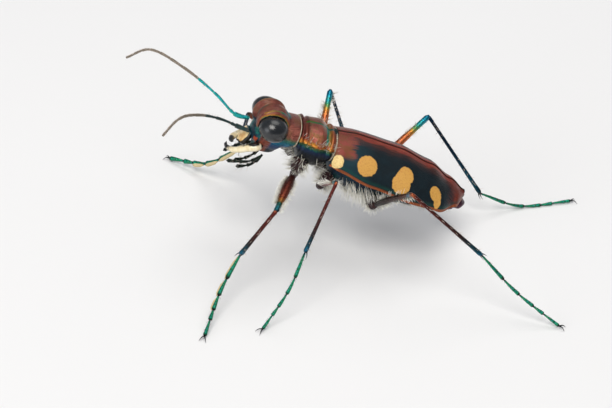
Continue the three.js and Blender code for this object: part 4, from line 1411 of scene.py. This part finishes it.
def fringe(limb, count, facing, strip, spread, length, lean, thick, reach):
    """Rows of bristles along a limb on the side that faces one way, as a coat part."""
    path, radii = limb
    share = np.sort(random.uniform(*reach, count))
    at = share * (len(path) - 1)
    centre = np.stack([np.interp(at, np.arange(len(path)), path[:, k]) for k in range(3)], -1)
    radius = np.interp(at, np.arange(len(path)), radii)
    ahead = np.gradient(path, axis=0)[at.astype(int)]
    ahead /= np.linalg.norm(ahead, axis=1, keepdims=True)
    out = np.asarray(facing, float) - ahead * (ahead @ np.asarray(facing, float))[:, None]
    out /= np.linalg.norm(out, axis=1, keepdims=True)
    other = np.cross(ahead, out)
    turn = random.normal(0, 1, count) * spread
    out = out * np.cos(turn)[:, None] + other * np.sin(turn)[:, None]
    aims = out + ahead * lean + random.normal(0, 0.1, (count, 3))
    uv = np.column_stack([np.full(count, 0.02 + 0.96 * strip), 0.02 + 0.94 * share])
    return centre + out * radius[:, None] * 0.9, aims, random.uniform(*length, count), thick, (0, 0, 0), uv


def band(value, low, high, soft=0.12):
    """1 between low and high, fading to 0 at the sides."""
    return 1 / (1 + np.exp(-(value - low) / soft)) / (1 + np.exp((value - high) / soft))


def chest_side(p):
    """The hind chest's lower side, where the fur is long."""
    return band(p[..., 2], -3.2, -1.5) * band(p[..., 0], -4.6, -1.6)


def chest_front(p):
    """The chest's side by the middle leg, where the fur is thin."""
    return band(p[..., 2], -2.6, -1.7) * band(p[..., 0], -1.6, 0.1)


def belly_edge(p):
    """A thin line of fur along the belly under the wing cases."""
    return band(p[..., 2], -2.4, -1.9) * band(p[..., 0], -9.4, -4.5)


def throat(p):
    """The forebody's underside."""
    return band(p[..., 2], -2.1, -1.15) * band(p[..., 0], 1.4, 2.7)


def flank(p):
    """The forebody's side edge, on the copper."""
    return band(p[..., 2], 0.1, 0.5, 0.06) * band(p[..., 0], 0.2, 2.0)


def collar(p):
    """The forebody's rear rim."""
    return band(p[..., 0], 0.08, 0.2, 0.03) * band(p[..., 2], -0.6, 1.2)


chest_coat = [
    fur(chest_rings, 620, chest_side, (0.5, 1.05), (-0.7, 0, -0.8), 0.021, (0, 0, -0.3)),
    fur(chest_rings, 120, chest_front, (0.35, 0.7), (0.2, 0, -0.8), 0.018, (0, 0, -0.2)),
]
coat("chest_fur", chest_coat, white_hair)
belly_coat = [fur(belly_rings, 420, belly_edge, (0.25, 0.5), (-1.2, 0, -0.2), 0.016)]
coat("belly_fur", belly_coat, white_hair)
forebody_coat = [
    fur(forebody_rings, 170, throat, (0.35, 0.75), (0.3, 0, -0.6), 0.017),
    fur(forebody_rings, 110, flank, (0.3, 0.6), (0.3, 0, 0.6), 0.013),
    fur(forebody_rings, 200, collar, (0.12, 0.24), (-0.9, 0, 0.1), 0.012),
]
coat("forebody_fur", forebody_coat, white_hair)

# Each kind of bristle row along a limb: how it spreads, its lengths, lean and thickness, and its reach.
bristles = {
    "coxa": {"spread": 0.6, "length": (0.4, 0.8), "lean": 0.6, "thick": 0.02, "reach": (0.05, 0.9)},
    "thigh": {"spread": 0.25, "length": (0.32, 0.52), "lean": 0.6, "thick": 0.019, "reach": (0.06, 0.8)},
    "thigh_under": {"spread": 0.3, "length": (0.32, 0.6), "lean": 0.6, "thick": 0.018, "reach": (0.08, 0.95)},
    "shin": {"spread": 0.15, "length": (0.22, 0.38), "lean": 0.5, "thick": 0.011, "reach": (0.04, 0.97)},
    "foot": {"spread": 0.3, "length": (0.1, 0.2), "lean": 1.3, "thick": 0.009, "reach": (0.03, 0.95)},
    "antenna": {"spread": 0.3, "length": (0.18, 0.3), "lean": 0.5, "thick": 0.010, "reach": (0.04, 0.4)},
    "felt": {"spread": 0.5, "length": (0.05, 0.09), "lean": 1.2, "thick": 0.006, "reach": (0.44, 0.99)},
    "palp": {"spread": 0.3, "length": (0.3, 0.6), "lean": 0.7, "thick": 0.010, "reach": (0.1, 0.98)},
}
coxa_coat, thigh_coat, shin_coat, foot_coat = [], [], [], []
for number, (name, limbs) in enumerate(legs.items()):
    strip = number / len(legs)
    hind = "hind" in name
    thin, dense = (45, 250) if "front" in name else (105, 110)
    for facing in ((1, 0, 0.2), (0, 0, -1), (-0.4, 1 if "left" in name else -1, 0)):
        coxa_coat.append(fringe(limbs["coxa"], thin, facing, strip, **bristles["coxa"]))
    front = (0, 0, 1) if hind else (1, 0, 0.3)
    under = (0, 0, -1) if hind else (-1, 0, -0.2)
    thigh_coat.append(fringe(limbs["thigh"], 26 if hind else dense, front, strip, **bristles["thigh"]))
    thigh_coat.append(fringe(limbs["thigh"], dense // 2, under, strip + 0.05, **bristles["thigh_under"]))
    for facing in ((1, 0, 0), (-1, 0, 0), (0, 1, 0.5), (0, -1, -0.5)):
        shin_coat.append(fringe(limbs["shin"], 13, facing, strip, **bristles["shin"]))
        foot_coat.append(fringe(limbs["foot"], 22, facing, strip, **bristles["foot"]))
coat("coxa_fur", coxa_coat, white_hair)
coat("thigh_bristles", thigh_coat, white_hair)
coat("shin_bristles", shin_coat, pale_hair)
coat("foot_bristles", foot_coat, dark_hair)
antenna_coat, palp_coat = [], []
for number, path in enumerate(antenna_paths.values()):
    limb = (stand(path), np.full(len(path), 0.09))
    for facing in ((0, 0, 1), (1, 0, -0.3), (0, 1, 0), (0, -1, 0)):
        antenna_coat.append(fringe(limb, 9, facing, number / 2, **bristles["antenna"]))
        antenna_coat.append(fringe(limb, 260, facing, number / 2 + 0.1, **bristles["felt"]))
for number, limb in enumerate(palps):
    for facing in ((1, 0, 0.4), (0, 1, 0), (0, -1, -0.4)):
        palp_coat.append(fringe(limb, 7, facing, number / len(palps), **bristles["palp"]))
coat("antenna_bristles", antenna_coat, pale_hair)
coat("palp_bristles", palp_coat, pale_hair)
